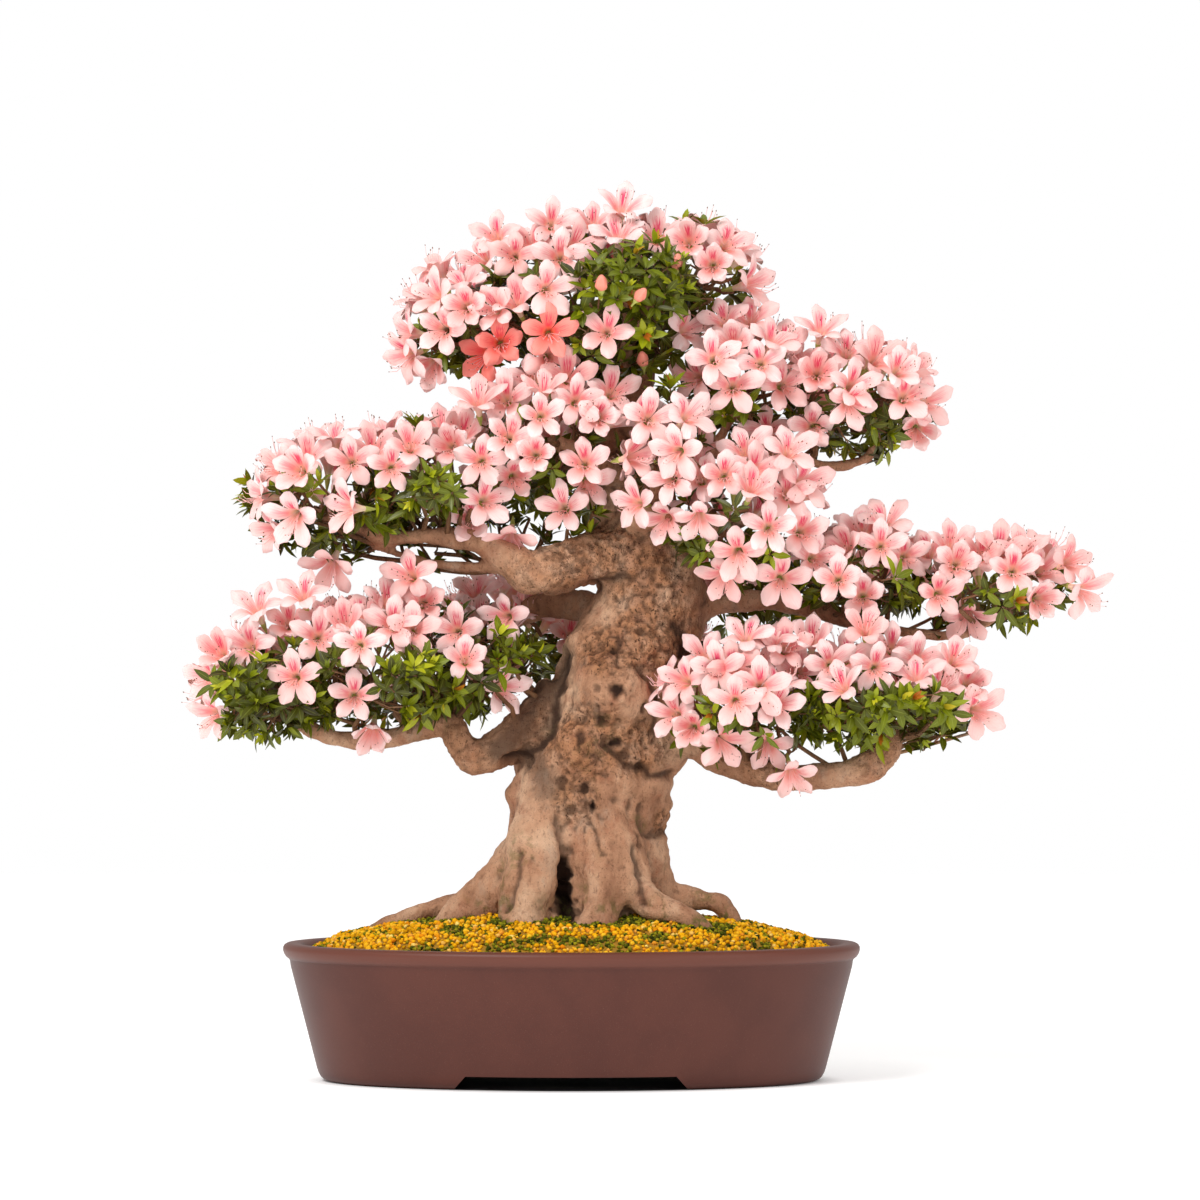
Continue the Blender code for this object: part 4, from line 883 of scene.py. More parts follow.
def shapeOf(parts):
    # joins small finished shapes, and keeps what a copy needs to know of them
    obj = joined(parts)
    mesh = obj.data
    count = len(mesh.vertices)
    shape = {
        "places": readAll(mesh.vertices, "co", 3),
        "corners": readAll(mesh.loops, "vertex_index", kind=int),
        "starts": readAll(mesh.polygons, "loop_start", kind=int),
        "slots": readAll(mesh.polygons, "material_index", kind=int),
        "uv": np.zeros(len(mesh.loops) * 2),
        "blotch": np.zeros(count),
    }
    if mesh.uv_layers:
        mesh.uv_layers[0].data.foreach_get("uv", shape["uv"])
    if "blotch" in mesh.attributes:
        mesh.attributes["blotch"].data.foreach_get("value", shape["blotch"])
    bpy.data.objects.remove(obj)
    return shape


def repeated(name, copies):
    # copies: (shape, matrix, tone) of each
    stacked = {key: [] for key in ("places", "corners", "starts", "slots", "uv", "blotch", "tone")}
    vertexCount = cornerCount = 0
    for shape, matrix, tone in copies:
        turn = np.array(matrix.to_3x3())
        stacked["places"].append(shape["places"] @ turn.T + np.array(matrix.translation))
        stacked["corners"].append(shape["corners"] + vertexCount)
        stacked["starts"].append(shape["starts"] + cornerCount)
        for key in ("slots", "uv", "blotch"):
            stacked[key].append(shape[key])
        vertexTones = shape.get("tones", np.zeros(len(shape["places"])))
        stacked["tone"].append(np.clip(vertexTones + tone, 0, 1))
        vertexCount += len(shape["places"])
        cornerCount += len(shape["corners"])
    whole = {key: np.concatenate(rows) for key, rows in stacked.items()}
    mesh = bpy.data.meshes.new(name)
    mesh.vertices.add(vertexCount)
    mesh.vertices.foreach_set("co", whole["places"].ravel())
    mesh.loops.add(cornerCount)
    mesh.loops.foreach_set("vertex_index", whole["corners"])
    mesh.polygons.add(len(whole["starts"]))
    mesh.polygons.foreach_set("loop_start", whole["starts"])
    mesh.polygons.foreach_set("material_index", whole["slots"])
    mesh.update(calc_edges=True)
    mesh.uv_layers.new(name="UVMap").data.foreach_set("uv", whole["uv"])
    for title in ("blotch", "tone"):
        layer = mesh.attributes.new(title, "FLOAT", "POINT")
        layer.data.foreach_set("value", whole[title].astype(np.float32))
    return linked(name, mesh)


def sheet(across, along, shape):
    # a grid whose points go where shape(u, v) says, u from -1 to 1 across and v from 0 to 1 along
    bpy.ops.mesh.primitive_grid_add(x_subdivisions=across, y_subdivisions=along, size=2)
    made = bpy.context.object
    for vertex in made.data.vertices:
        vertex.co = Vector(shape(vertex.co.x, (vertex.co.y + 1) / 2)) * mm
    return made


def thickened(obj, thickness):
    # gives a sheet a second face below, which meets the first along its edge
    bm = bmesh.new()
    bm.from_mesh(obj.data)
    bm.normal_update()
    inner = [(vertex, vertex.normal.copy()) for vertex in bm.verts if not vertex.is_boundary]
    copy = bmesh.ops.duplicate(bm, geom=bm.verts[:] + bm.edges[:] + bm.faces[:])
    for vertex, normal in inner:
        copy["vert_map"][vertex].co -= normal * thickness
    bmesh.ops.reverse_faces(bm, faces=[part for part in copy["geom"] if isinstance(part, bmesh.types.BMFace)])
    bmesh.ops.remove_doubles(bm, verts=bm.verts, dist=0.002 * mm)
    bm.to_mesh(obj.data)
    bm.free()
    return obj


def slim(points, radii, sides):
    # a slim closed rod along points in metres, its radii in millimetres, as places and faces
    verts, faces = [], []
    side = None
    for i, point in enumerate(points):
        ahead = (points[min(i + 1, len(points) - 1)] - points[max(i - 1, 0)]).normalized()
        side = side or ahead.orthogonal().normalized()
        side = (side - ahead * side.dot(ahead)).normalized()
        other = ahead.cross(side)
        for step in range(sides):
            angle = math.tau * step / sides
            verts.append(point + (side * math.cos(angle) + other * math.sin(angle)) * (radii[i] * mm))
    last = (len(points) - 1) * sides
    for row in range(0, last, sides):
        for step in range(sides):
            after = (step + 1) % sides
            faces.append((row + step, row + after, row + sides + after, row + sides + step))
    faces.append(tuple(reversed(range(sides))))
    faces.append(tuple(last + step for step in range(sides)))
    return verts, faces


def rodsObject(name, rods):
    # many rods as one object
    verts, faces = [], []
    for places, around in rods:
        first = len(verts)
        verts += places
        faces += [tuple(first + i for i in face) for face in around]
    mesh = bpy.data.meshes.new(name)
    mesh.from_pydata(verts, [], faces)
    return linked(name, mesh)


# Soil: the bed, its grains and the moss


soilShape = {
    "spacing": 4.3, "scatter": 1.7, "grain": (1.5, 3.0), "mossGrain": (1.2, 2.6), "kinds": 6, "squash": 0.85,
    # the height at which the pot's inside bounds it, and how far it stays from the wall
    "edge": 115, "gap": 2.0, "within": 0.985,
    # moss: the size of its patches, and from which greenness or by which chance a grain is moss
    "patch": 30, "mossFrom": 0.3, "mossChance": 0.16,
}


def soilBed():
    bed = linked("soilBed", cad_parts["soil"].data.copy())
    only(bed)
    bpy.ops.object.mode_set(mode="EDIT")
    bpy.ops.mesh.select_all(action="SELECT")
    bpy.ops.mesh.remove_doubles(threshold=0.02 * mm)
    bpy.ops.object.mode_set(mode="OBJECT")
    return pieceReady(bed, "soilBed", [looks["bed"]], "kanuma_soil", ["soil"])


def stoneShapes(rng, addBall, **settings):
    shapes = []
    for _ in range(soilShape["kinds"]):
        addBall(radius=1, **settings)
        stone = bpy.context.object
        for vertex in stone.data.vertices:
            vertex.co *= rng.uniform(0.65, 1.2)
            vertex.co.z *= soilShape["squash"]
        shapes.append(shapeOf([stone]))
    return shapes


def makeSoil():
    ground = treeOf(soilBed().data)
    rng = random.Random(3)
    stones = stoneShapes(rng, bpy.ops.mesh.primitive_ico_sphere_add, subdivisions=1)
    crumbs = stoneShapes(rng, bpy.ops.mesh.primitive_uv_sphere_add, segments=4, ring_count=3)
    edge, wall, gap = soilShape["edge"], potShape["wall"], soilShape["gap"]
    halfX, halfY = wallLine(edge) - wall - gap, wallLine(edge, 1) - wall - gap
    grains, moss = [], []
    spacing, scatter = soilShape["spacing"], soilShape["scatter"]
    for row in range(int(2 * halfY / spacing) + 1):
        for column in range(int(2 * halfX / spacing) + 1):
            x = -halfX + (column + 0.5 * (row % 2)) * spacing + rng.uniform(-scatter, scatter)
            y = -halfY + row * spacing + rng.uniform(-scatter, scatter)
            outward = (x / halfX) ** 2 + (y / halfY) ** 2
            if outward > soilShape["within"]:
                continue
            hit, normal, _, _ = ground.ray_cast(real((x, y, 400)), -up)
            if hit is None or normal.z < 0.4 or inWood(hit + up * 0.8 * mm):
                continue
            nearWood = woodTree.find_nearest(hit)[3] / mm
            green = noise.noise(Vector((x, y, 0)) / soilShape["patch"]) + 0.55 * smoothStep(26, 4, nearWood)
            green += 0.3 * noise.noise(Vector((x, y, 5)) / 9) + 0.25 * smoothStep(0.7, 0.97, outward)
            angle = rng.uniform(0, math.tau)
            turn = Matrix.Rotation(angle, 4, Vector([rng.gauss(0, 1) for _ in range(3)]).normalized())
            mossy = green > soilShape["mossFrom"] or rng.random() < soilShape["mossChance"]
            for extra in range(2 if mossy and y < 0 else 1):
                size = rng.uniform(*soilShape["mossGrain" if mossy else "grain"]) * mm
                lift = rng.uniform(-0.2, 0.9) * mm + size * 0.35
                aside = [rng.uniform(-1, 1) * extra * 2 * mm for _ in range(2)]
                matrix = Matrix.Translation(hit + Vector((*aside, lift))) @ turn @ Matrix.Scale(size, 4)
                if mossy:
                    moss.append((rng.choice(crumbs), matrix, rng.random()))
                else:
                    grains.append((rng.choice(stones), matrix, rng.betavariate(1.4, 1.3)))
    pieceReady(repeated("soilGrains", grains), "soilGrains", [looks["grain"]], "kanuma_soil", [])
    pieceReady(repeated("soilMoss", moss), "soilMoss", [looks["moss"]], "kanuma_soil", [])


makeSoil()


# The shapes that the foliage repeats: blooms, buds and whorls of leaves


bloomShape = {
    "petals": 5,
    # along a petal: distance from the axis, height along it, half width
    "petal": (
        (1.9, -26, 1.4), (3.1, -19, 2.2), (5.2, -12.5, 3.5), (8.4, -7.2, 5.2),
        (12.6, -3.0, 6.9), (17.6, -0.4, 8.0), (22.4, 0.7, 7.2), (27.2, 0.2, 4.6),
    ),
    "thickness": 0.4, "stamens": 5,
    # how much of the blotch each petal has, from the top one round
    "blotch": (1.0, 0.42, 0.0, 0.0, 0.42),
    "filament": (0.38, 0.36, 0.32, 0.26), "anther": 0.68, "stigma": 0.5, "antherFoot": 0.3, "antherTip": 0.25,
    "calyxHeights": (-36, -28, -24), "calyxRadii": (0.8, 2.4, 2.9),
    # how wide each kind of bloom opens
    "kinds": (1.0, 1.0, 0.97, 0.93, 0.9, 0.85, 0.8, 0.74, 1.02, 0.95),
}
budShape = {
    "wide": 5.3, "taper": 0.3, "half": 7.8, "middle": 1, "ribs": 0.1, "wind": 0.7,
    "calyxHeights": (-16, -11, -8, -3), "calyxRadii": (0.8, 1.2, 3.0, 3.2),
}
# which of a bloom's five looks each part has: petal, stamen, anther, calyx, bud
bloomSlots = {"petal": 0, "stamen": 1, "anther": 2, "calyx": 3, "bud": 4}


def petal(turn, openness, rng):
    line = [Vector(row) for row in bloomShape["petal"]]
    rows = len(line) - 1
    phase, ruffle, tip = rng.uniform(0, 6.3), rng.uniform(0.4, 1.3), rng.uniform(-3.5, 5.0)
    length, width = rng.uniform(0.9, 1.06), rng.uniform(0.88, 1.1)
    swing, twist = rng.uniform(-0.1, 0.1), rng.uniform(-2.4, 2.4)

    def shape(u, v):
        out, height, half = line[round(v * rows)]
        free = smoothStep(0.4, 0.85, v)
        # an open bloom's petals lie flat, a closed one's stand up round the throat
        out = out * (1 + free * (openness - 1)) * (1 + free * (length - 1))
        height += free * (1 - openness) * 26 - tip * free * free
        half *= 1 + free * (width - 1)
        angle = turn + swing * free * free + u * min(0.64, half / max(out, 0.1))
        wave = ruffle * math.sin(3.1 * u + phase) + twist * u - 2.0 * u * u + 1.2 * (1 - abs(u)) ** 2
        height += free * wave
        out -= 2.2 * abs(u) ** 2.2 * smoothStep(0.86, 1.0, v)
        return out * math.cos(angle), out * math.sin(angle), height

    return thickened(sheet(4, rows, shape), bloomShape["thickness"] * mm)


def marked(obj, part, blotch=0.0):
    # gives a part of a bloom its look, its share of the blotch and a place for its petal's coordinates
    obj.data.polygons.foreach_set("material_index", np.full(len(obj.data.polygons), bloomSlots[part]))
    layer = obj.data.attributes.new("blotch", "FLOAT", "POINT")
    layer.data.foreach_set("value", np.full(len(obj.data.vertices), blotch, np.float32))
    if not obj.data.uv_layers:
        obj.data.uv_layers.new(name="UVMap")
    obj.data.uv_layers[0].name = "UVMap"
    return obj


def bloomFrom(parts):
    # joins the parts of a bloom; the looks that hold their slots meanwhile are removed again
    fillers = [bpy.data.materials.new("slot") for _ in bloomSlots]
    for part in parts:
        for filler in fillers:
            part.data.materials.append(filler)
    shape = shapeOf(parts)
    for filler in fillers:
        bpy.data.materials.remove(filler)
    return shape


def calyxOf(settings, sides):
    foot = [up * height * mm for height in settings["calyxHeights"]]
    return marked(rodsObject("calyx", [slim(foot, settings["calyxRadii"], sides)]), "calyx")


def makeBloom(openness, seed):
    rng = random.Random(seed)
    parts = []
    for number, blotch in enumerate(bloomShape["blotch"]):
        turn = math.tau * (0.25 + number / bloomShape["petals"]) + rng.uniform(-0.06, 0.06)
        parts.append(marked(petal(turn, openness, rng), "petal", blotch))
    filaments, anthers = [], []
    lean = rng.uniform(-0.5, 0.5)
    for number in range(bloomShape["stamens"] + 1):
        pistil = number == bloomShape["stamens"]
        angle = -math.pi / 2 + lean + (0 if pistil else (number - 2) * 0.52 + rng.uniform(-0.15, 0.15))
        reach, rise = (11, 17) if pistil else (rng.uniform(7, 13), rng.uniform(6, 14))
        away = Vector((math.cos(angle), math.sin(angle), 0))
        line = (
            away * 0.6 - up * 21, away * 0.3 * reach - up * 7, away * 0.9 * reach + up * 0.5 * rise,
            away * reach + Vector((0, 3, rise)),
        )
        points = [point * mm for point in line]
        filaments.append(slim(points, bloomShape["filament"], 3))
        along = (points[-1] - points[-2]).normalized()
        size = bloomShape["stigma" if pistil else "anther"]
        half = size * mm
        anther = [points[-1] - along * half, points[-1], points[-1] + along * half * 1.4]
        anthers.append(slim(anther, (bloomShape["antherFoot"], size, bloomShape["antherTip"]), 3))
    parts.append(marked(rodsObject("filaments", filaments), "stamen"))
    parts.append(marked(rodsObject("anthers", anthers), "anther"))
    parts.append(calyxOf(bloomShape, 5))
    return bloomFrom(parts)


def makeBud():
    # a closed bud: petals wound into a spindle on a green calyx
    bpy.ops.mesh.primitive_uv_sphere_add(segments=10, ring_count=8, radius=1)
    spindle = bpy.context.object
    for vertex in spindle.data.vertices:
        x, y, z = vertex.co
        swell = 1 + budShape["ribs"] * math.cos(5 * (math.atan2(y, x) + budShape["wind"] * z))
        wide = budShape["wide"] * (1 - budShape["taper"] * z) * swell
        vertex.co = Vector((x * wide, y * wide, budShape["middle"] + budShape["half"] * z)) * mm
    # five petals round it, each with the colours of a petal's heart
    for corner in spindle.data.uv_layers[0].data:
        corner.uv = (corner.uv[0] * 5 % 1, 0.3 + 0.1 * corner.uv[1])
    return bloomFrom([marked(spindle, "bud"), calyxOf(budShape, 6)])


leafShape = {
    "length": 18.5, "width": 7.2, "thickness": 0.35, "stalk": 1.5, "curl": 2.6, "fold": 1.3,
    # half widths from its foot to its tip
    "outline": (0.0, 0.82, 1.0, 0.7, 0.0),
    # each kind of whorl: its leaves, how many degrees they rise, and its young leaves
    "whorls": (
        (6, 28, 0), (5, 34, 0), (6, 40, 1), (5, 22, 0), (7, 36, 2), (5, 46, 1), (6, 30, 0), (4, 52, 2),
        (6, 18, 0), (5, 38, 3),
    ),
}


def leaf(length, width, rise, turn, curl):
    # a small pointed leaf, folded a little along its rib, from the middle of its whorl
    rows = len(leafShape["outline"]) - 1

    def shape(u, v):
        wide = leafShape["outline"][round(v * rows)]
        height = abs(u) * leafShape["fold"] * wide - curl * v * v
        return leafShape["stalk"] + length * v, u * (0.5 * width * wide), height

    made = thickened(sheet(2, rows, shape), leafShape["thickness"] * mm)
    made.data.transform(Matrix.Rotation(turn, 4, "Z") @ Matrix.Rotation(-rise, 4, "Y"))
    return made


def makeWhorl(leaves, rise, young, seed):
    # leaves round a shoot's end; the young ones stand up in its middle
    rng = random.Random(seed)
    parts, tones = [], []
    for number in range(leaves + young):
        isYoung = number >= leaves
        turn = math.tau * number / leaves + rng.uniform(-0.25, 0.25)
        length = leafShape["length"] * (rng.uniform(0.6, 0.85) if isYoung else rng.uniform(0.7, 1.2))
        width = leafShape["width"] * (rng.uniform(0.55, 0.75) if isYoung else rng.uniform(0.75, 1.15))
        lift = math.radians(rng.uniform(62, 80) if isYoung else rise + rng.uniform(-20, 20))
        parts.append(leaf(length, width, lift, turn, leafShape["curl"] * rng.uniform(0.2, 1.4)))
        tones += [0.34 if isYoung else rng.uniform(-0.14, 0.12)] * len(parts[-1].data.vertices)
    shape = shapeOf(parts)
    shape["tones"] = np.array(tones)
    return shape


blooms = [makeBloom(openness, seed) for seed, openness in enumerate(bloomShape["kinds"])]
whorls = [makeWhorl(*kind, seed) for seed, kind in enumerate(leafShape["whorls"])]
bud = makeBud()
print("blooms, whorls and buds are modelled")


# Foliage pads


# each lobe is x, y, z, half length, half depth, half height of its outline in flower
pads = {
    "crown": ((26, 0, 707, 121, 122, 85), (-91, -5, 689, 77, 90, 58), (111, 0, 729, 68, 86, 58)),
    "upper_left": (
        (-217, -10, 527, 81, 105, 61), (-118, -18, 545, 90, 110, 61), (-19, -42, 583, 81, 100, 63),
    ),
    "front_right": ((84, -75, 567, 52, 68, 66), (152, -75, 509, 77, 82, 67)),
    "upper_right": ((156, -8, 630, 68, 98, 67), (255, -14, 617, 81, 98, 63)),
    "mid_right": ((260, -5, 459, 72, 100, 52), (372, -10, 446, 86, 88, 47)),
    "lower_right": ((152, -60, 342, 83, 95, 58), (278, -48, 348, 104, 100, 54)),
    "lower_left": ((-271, -20, 360, 83, 92, 58), (-172, -20, 378, 99, 108, 70), (-82, 0, 382, 62, 84, 58)),
    "back_left": ((-64, 96, 408, 76, 78, 60),),
    "back_middle": ((62, 132, 388, 86, 74, 54),),
    "back_right": ((162, 88, 446, 74, 68, 50),),
    "back_upper": ((26, 126, 562, 112, 80, 62),),
}
# blooms that show from the front: x, z, then how far each faces right and up
frontBlooms = {
    "crown": (
        (-70, 763, -0.3, 0.4), (-18, 772, 0, 0.25), (-51, 742, 0, 0.1), (-10, 742, 0.1, 0.1),
        (-21, 712, 0.2, 0), (-84, 740, -0.6, 0.3), (-96, 696, -0.1, 0.1), (-118, 675, -0.3, -0.1),
        (-72, 695, -0.3, 0.2), (-124, 706, -0.6, 0.4), (-153, 674, -0.9, 0.1), (-148, 651, -0.7, -0.3),
        (-129, 637, -0.3, -0.6), (30, 674, -0.1, 0.05), (-53, 705, -0.2, 0.7), (18, 779, 0, 0.6),
        (43, 779, 0.2, 0.7), (78, 762, 0.1, 0.5), (105, 756, 0, 0.2), (127, 734, 0, 0.1),
        (144, 754, 0.5, 0.3), (167, 717, 0.8, 0.2), (108, 677, 0.7, 0.3), (9, 756, 0.5, 0.4),
        (-38, 760, -0.2, 0.6),
    ),
    "upper_left": (
        (-60, 614, -0.2, 0.2), (-35, 630, 0, 0.2), (-4, 631, 0.1, 0.2), (-20, 650, 0.3, 0),
        (-27, 598, 0.1, 0), (6, 612, 0.2, 0.1), (24, 597, 0, 0.1), (38, 621, 0.1, 0.3),
        (-82, 557, 0, 0.05), (-33, 563, 0, 0.1), (11, 556, 0, 0.1), (-90, 505, 0, 0),
        (-9, 515, -0.3, 0.1), (-57, 580, 0, 0.2), (-51, 542, 0.1, -0.1), (18, 536, 0.3, -0.2),
        (-240, 563, -0.2, 0.4), (-244, 549, -0.4, 0.1), (-199, 557, -0.1, 0.15), (-162, 551, 0, 0.05),
        (-179, 572, 0, 0.5), (-145, 569, 0.1, 0.4), (-111, 573, -0.1, 0.2), (-98, 585, 0, 0.5),
        (-118, 593, -0.1, 0.8), (-207, 515, -0.8, 0.1), (-285, 527, -0.9, 0.1), (-273, 555, -0.7, 0.3),
        (-253, 504, -0.4, -0.4), (-273, 493, -0.8, -0.2), (-219, 458, -0.3, -0.7),
        (-76, 522, 0.2, 0.1), (-82, 598, -0.1, 0.7), (-55, 482, 0, -0.7),
    ),
    "front_right": (
        (72, 596, 0.2, 0.1), (60, 562, 0.7, 0.1), (93, 564, -0.2, -0.1), (54, 519, -0.6, 0),
        (87, 542, -0.2, 0.1), (117, 544, 0, 0.3), (138, 543, 0, 0.1), (166, 549, 0.1, 0.1),
        (115, 501, 0, -0.6), (149, 472, 0, -0.2), (135, 450, -0.3, -0.5), (177, 497, 0, 0.1),
        (196, 530, 0.1, 0.2), (208, 494, 0.2, 0.1), (189, 450, 0, 0), (222, 471, 0.2, 0.1),
        (156, 572, 0, 0.6), (211, 538, 0.5, 0.4), (190, 554, 0.3, 0.6), (82, 500, -0.2, -0.4),
    ),
    "upper_right": (
        (145, 663, 0, 0.15), (145, 625, 0, 0.1), (171, 646, 0.1, 0.1), (108, 632, -0.4, 0.1),
        (129, 646, 0, 0.2), (111, 590, 0, -0.4), (222, 637, 0.1, 0.1), (192, 626, 0.1, 0),
        (216, 587, 0, 0), (174, 583, -0.3, -0.1), (256, 626, 0.3, 0.1), (252, 607, 0.3, -0.3),
        (249, 659, 0.1, 0.5), (278, 652, 0.3, 0.4), (301, 617, 0.2, 0.2), (291, 635, 0.4, 0.4),
        (324, 611, 0.6, 0.2), (312, 584, 0.1, -0.2), (192, 668, 0.1, 0.6), (161, 686, 0, 0.6),
        (140, 679, -0.2, 0.5), (224, 673, 0.1, 0.7),
    ),
    "mid_right": (
        (278, 481, 0, 0.1), (303, 472, 0.1, 0.1), (262, 436, 0, 0), (332, 437, 0.1, 0),
        (423, 432, 0.2, 0), (453, 468, 0.6, 0.2), (463, 439, 0.7, -0.2), (398, 459, 0.1, 0.2),
        (406, 479, 0.2, 0.6), (431, 463, 0.4, 0.3), (368, 475, 0, 0.3), (342, 485, 0, 0.6),
        (321, 485, 0, 0.6), (261, 499, -0.1, 0.6), (282, 504, 0.1, 0.8), (243, 481, -0.4, 0.4),
        (241, 450, -0.1, 0.05), (386, 480, 0.1, 0.5), (348, 466, 0, 0.1), (357, 412, 0, -0.6),
    ),
    "lower_right": (
        (98, 360, -0.4, 0.1), (87, 329, -0.4, 0), (108, 316, -0.1, 0), (131, 370, -0.1, 0.1),
        (148, 372, 0.1, 0.1), (164, 380, 0, 0.3), (193, 391, 0.1, 0.3), (170, 354, 0, 0.1),
        (147, 340, 0, 0), (186, 338, 0.1, 0), (205, 368, 0.1, 0.1), (274, 371, 0, 0.1),
        (247, 382, -0.1, 0.3), (288, 392, 0, 0.4), (313, 379, 0.1, 0.1), (233, 374, 0, 0.2),
        (360, 357, 0.3, 0.2), (369, 332, 0.5, 0), (177, 297, 0, -0.4), (198, 274, 0.1, -0.7),
        (136, 305, 0.3, -0.3), (156, 394, 0, 0.7), (179, 396, 0, 0.8), (342, 374, 0.3, 0.5),
        (216, 396, 0, 0.7), (264, 394, 0, 0.6), (116, 387, -0.3, 0.5),
    ),
    "lower_left": (
        (-250, 362, -0.05, 0), (-196, 345, 0, 0), (-191, 392, 0, 0.1), (-228, 399, 0, 0.2),
        (-256, 413, -0.1, 0.4), (-293, 392, -0.3, 0.3), (-315, 383, -0.4, 0.4), (-332, 363, -0.7, 0.2),
        (-327, 327, -0.6, -0.3), (-132, 431, 0.1, 0.2), (-162, 412, 0, 0.2), (-143, 406, 0.1, 0.1),
        (-166, 434, 0, 0.6), (-204, 414, 0, 0.6), (-105, 404, -0.2, 0.1), (-95, 379, 0, 0.3),
        (-62, 416, -0.3, 0), (-60, 351, 0.5, -0.1), (-180, 310, 0, -0.6), (-221, 420, 0, 0.8),
        (-240, 423, -0.1, 0.7), (-279, 416, -0.3, 0.7), (-187, 428, 0, 0.8), (-145, 453, -0.2, 0.3),
    ),
    "back_left": ((0, 401, 0.2, 0.3),),
}
coralBlooms = {"crown": ((-20, 672, 0, 0), (-64, 663, 0.1, 0), (-81, 650, -0.5, -0.3))}
# buds: x, z, then how far each leans right and up
buds = {"crown": ((62, 706, 0.5, 0.6), (64, 648, -0.1, 0.8), (27, 716, 0.0, 0.9), (95, 735, 0.1, 0.9))}
# colours of blooms, with the word for them in the nodes' names and the slot that they fill
bloomKinds = (("pink", "blooms", "pale_pink_petal"), ("coral", "coral_blooms", "coral_petal"))

foliage = {
    # how far inside the outline a bloom's mouth lies, and how deep it goes at the outline's rim
    "mouthInset": 16, "rimRise": 0.3, "coralForward": 14, "budForward": 13,
    # blooms that nobody drew: how far apart behind and on top, and how many places of a lobe are tried
    "backSpacing": 40, "topSpacing": 29, "tried": 330,
    # settling a bloom: which neighbours count, how far it may slide or roll, and what a slide costs
    "bloomReach": 62, "pushes": (0, -5, 5, 10, 15, 20, -9, 26), "rolls": (0, 0.3, -0.3), "pushCost": 0.6,
    # layers of whorls: how far inside the outline, and how far apart
    "layers": ((14, 15), (25, 17), (38, 20)),
    # which blooms count for a lobe, the room that one keeps free of whorls, and the hollows between whorls
    "nearLobe": 1.7, "bloomRoom": 22.5, "hollowsFrom": 0.22, "hollowSize": 24,
    # the shares of whorls that are young and red, and of the points of a drawn twig that bear leaves
    "young": 0.09, "red": 0.008, "onTwigs": 0.65,
    # twigs: from which of the trunk's points on they may grow, and how many fork off in a lobe
    "limbsFrom": 7, "hubsALobe": 12,
    # the share of whorls left out on the underside, where twigs show
    "bare": {
        "upper_left": 0.5, "mid_right": 0.5, "lower_right": 0.45, "upper_right": 0.4, "lower_left": 0.2,
        "crown": 0.2,
    },
}
# places kept free of the blooms that nobody drew: x and z from and to
leafyFront = (
    (8, 118, 600, 762), (-300, -60, 300, 392), (-128, 0, 300, 450), (195, 400, 270, 352),
    (-290, -140, 470, 548), (285, 440, 380, 440),
)
# twigs that show under the pads: places x, z, and how thick
drawnTwigs = {
    "upper_left": (
        ((-115, 487), (-142, 503), (-172, 520), 2.6), ((-132, 496), (-150, 512), (-162, 528), 1.8),
        ((-168, 482), (-216, 497), (-246, 507), 2.6),
        ((-128, 469), (-178, 470), (-206, 478), 2.6), ((-54, 455), (-88, 457), (-122, 460), 3.2),
        ((-48, 466), (-44, 490), (-38, 505), 1.8),
        ((-60, 478), (-66, 500), (-84, 520), 2.0), ((-150, 480), (-158, 500), (-156, 515), 1.8),
        ((-96, 484), (-120, 500), (-128, 520), 2.2), ((-30, 470), (-20, 495), (-8, 515), 2.2),
        ((-190, 486), (-222, 488), (-250, 494), 1.8),
        ((-62, 464), (-92, 471), (-124, 474), 2.4), ((-70, 468), (-100, 478), (-140, 482), 2.0),
        ((-84, 462), (-104, 476), (-118, 492), 1.8),
        ((-120, 466), (-136, 480), (-150, 496), 1.6), ((-40, 462), (-28, 484), (-24, 504), 2.2),
        ((-10, 472), (-4, 494), (4, 512), 2.0),
        ((0, 474), (14, 494), (20, 514), 1.8), ((-150, 484), (-184, 478), (-214, 484), 2.2),
        ((-110, 478), (-90, 492), (-76, 510), 1.7), ((-180, 476), (-200, 468), (-214, 470), 1.6),
        ((-74, 478), (-96, 496), (-106, 514), 1.6),
    ),
    "mid_right": (
        ((180, 440), (230, 428), (270, 412), 2.6), ((250, 408), (310, 402), (352, 412), 2.6),
        ((205, 436), (240, 452), (262, 470), 2.0),
        ((300, 402), (330, 418), (352, 436), 1.8), ((230, 420), (250, 440), (276, 452), 1.8),
        ((260, 412), (290, 424), (316, 440), 1.8),
    ),
    "lower_right": (
        ((262, 290), (300, 300), (345, 312), 2.6), ((250, 282), (240, 306), (222, 326), 2.4),
        ((276, 292), (320, 300), (362, 312), 2.0),
        ((258, 286), (262, 310), (256, 334), 2.2), ((240, 280), (205, 300), (186, 318), 2.2),
        ((282, 300), (300, 318), (330, 330), 1.8),
        ((300, 298), (340, 318), (366, 322), 1.6), ((270, 300), (288, 326), (296, 344), 1.8),
    ),
    "upper_right": (
        ((200, 556), (222, 572), (240, 590), 2.0), ((226, 556), (262, 560), (290, 574), 2.2),
        ((180, 560), (170, 580), (160, 600), 2.0),
    ),
    "lower_left": (
        ((-150, 312), (-190, 318), (-228, 330), 2.4), ((-128, 318), (-150, 334), (-180, 342), 2.0),
        ((-105, 316), (-96, 334), (-82, 350), 2.0),
    ),
    "crown": (
        ((44, 640), (30, 662), (24, 690), 2.4), ((60, 640), (74, 660), (84, 684), 2.2),
        ((36, 640), (-6, 654), (-40, 668), 2.4), ((52, 650), (56, 676), (50, 706), 2.0),
    ),
}
rng = random.Random(5)
everyLobe = [lobe for lobes in pads.values() for lobe in lobes]
limbPoints = [
    Vector(point[:3]) for line in (trunkLine[foliage["limbsFrom"]:], *branchLines)
    for point in smoothLine([Vector(place) for place in line], 4)
]


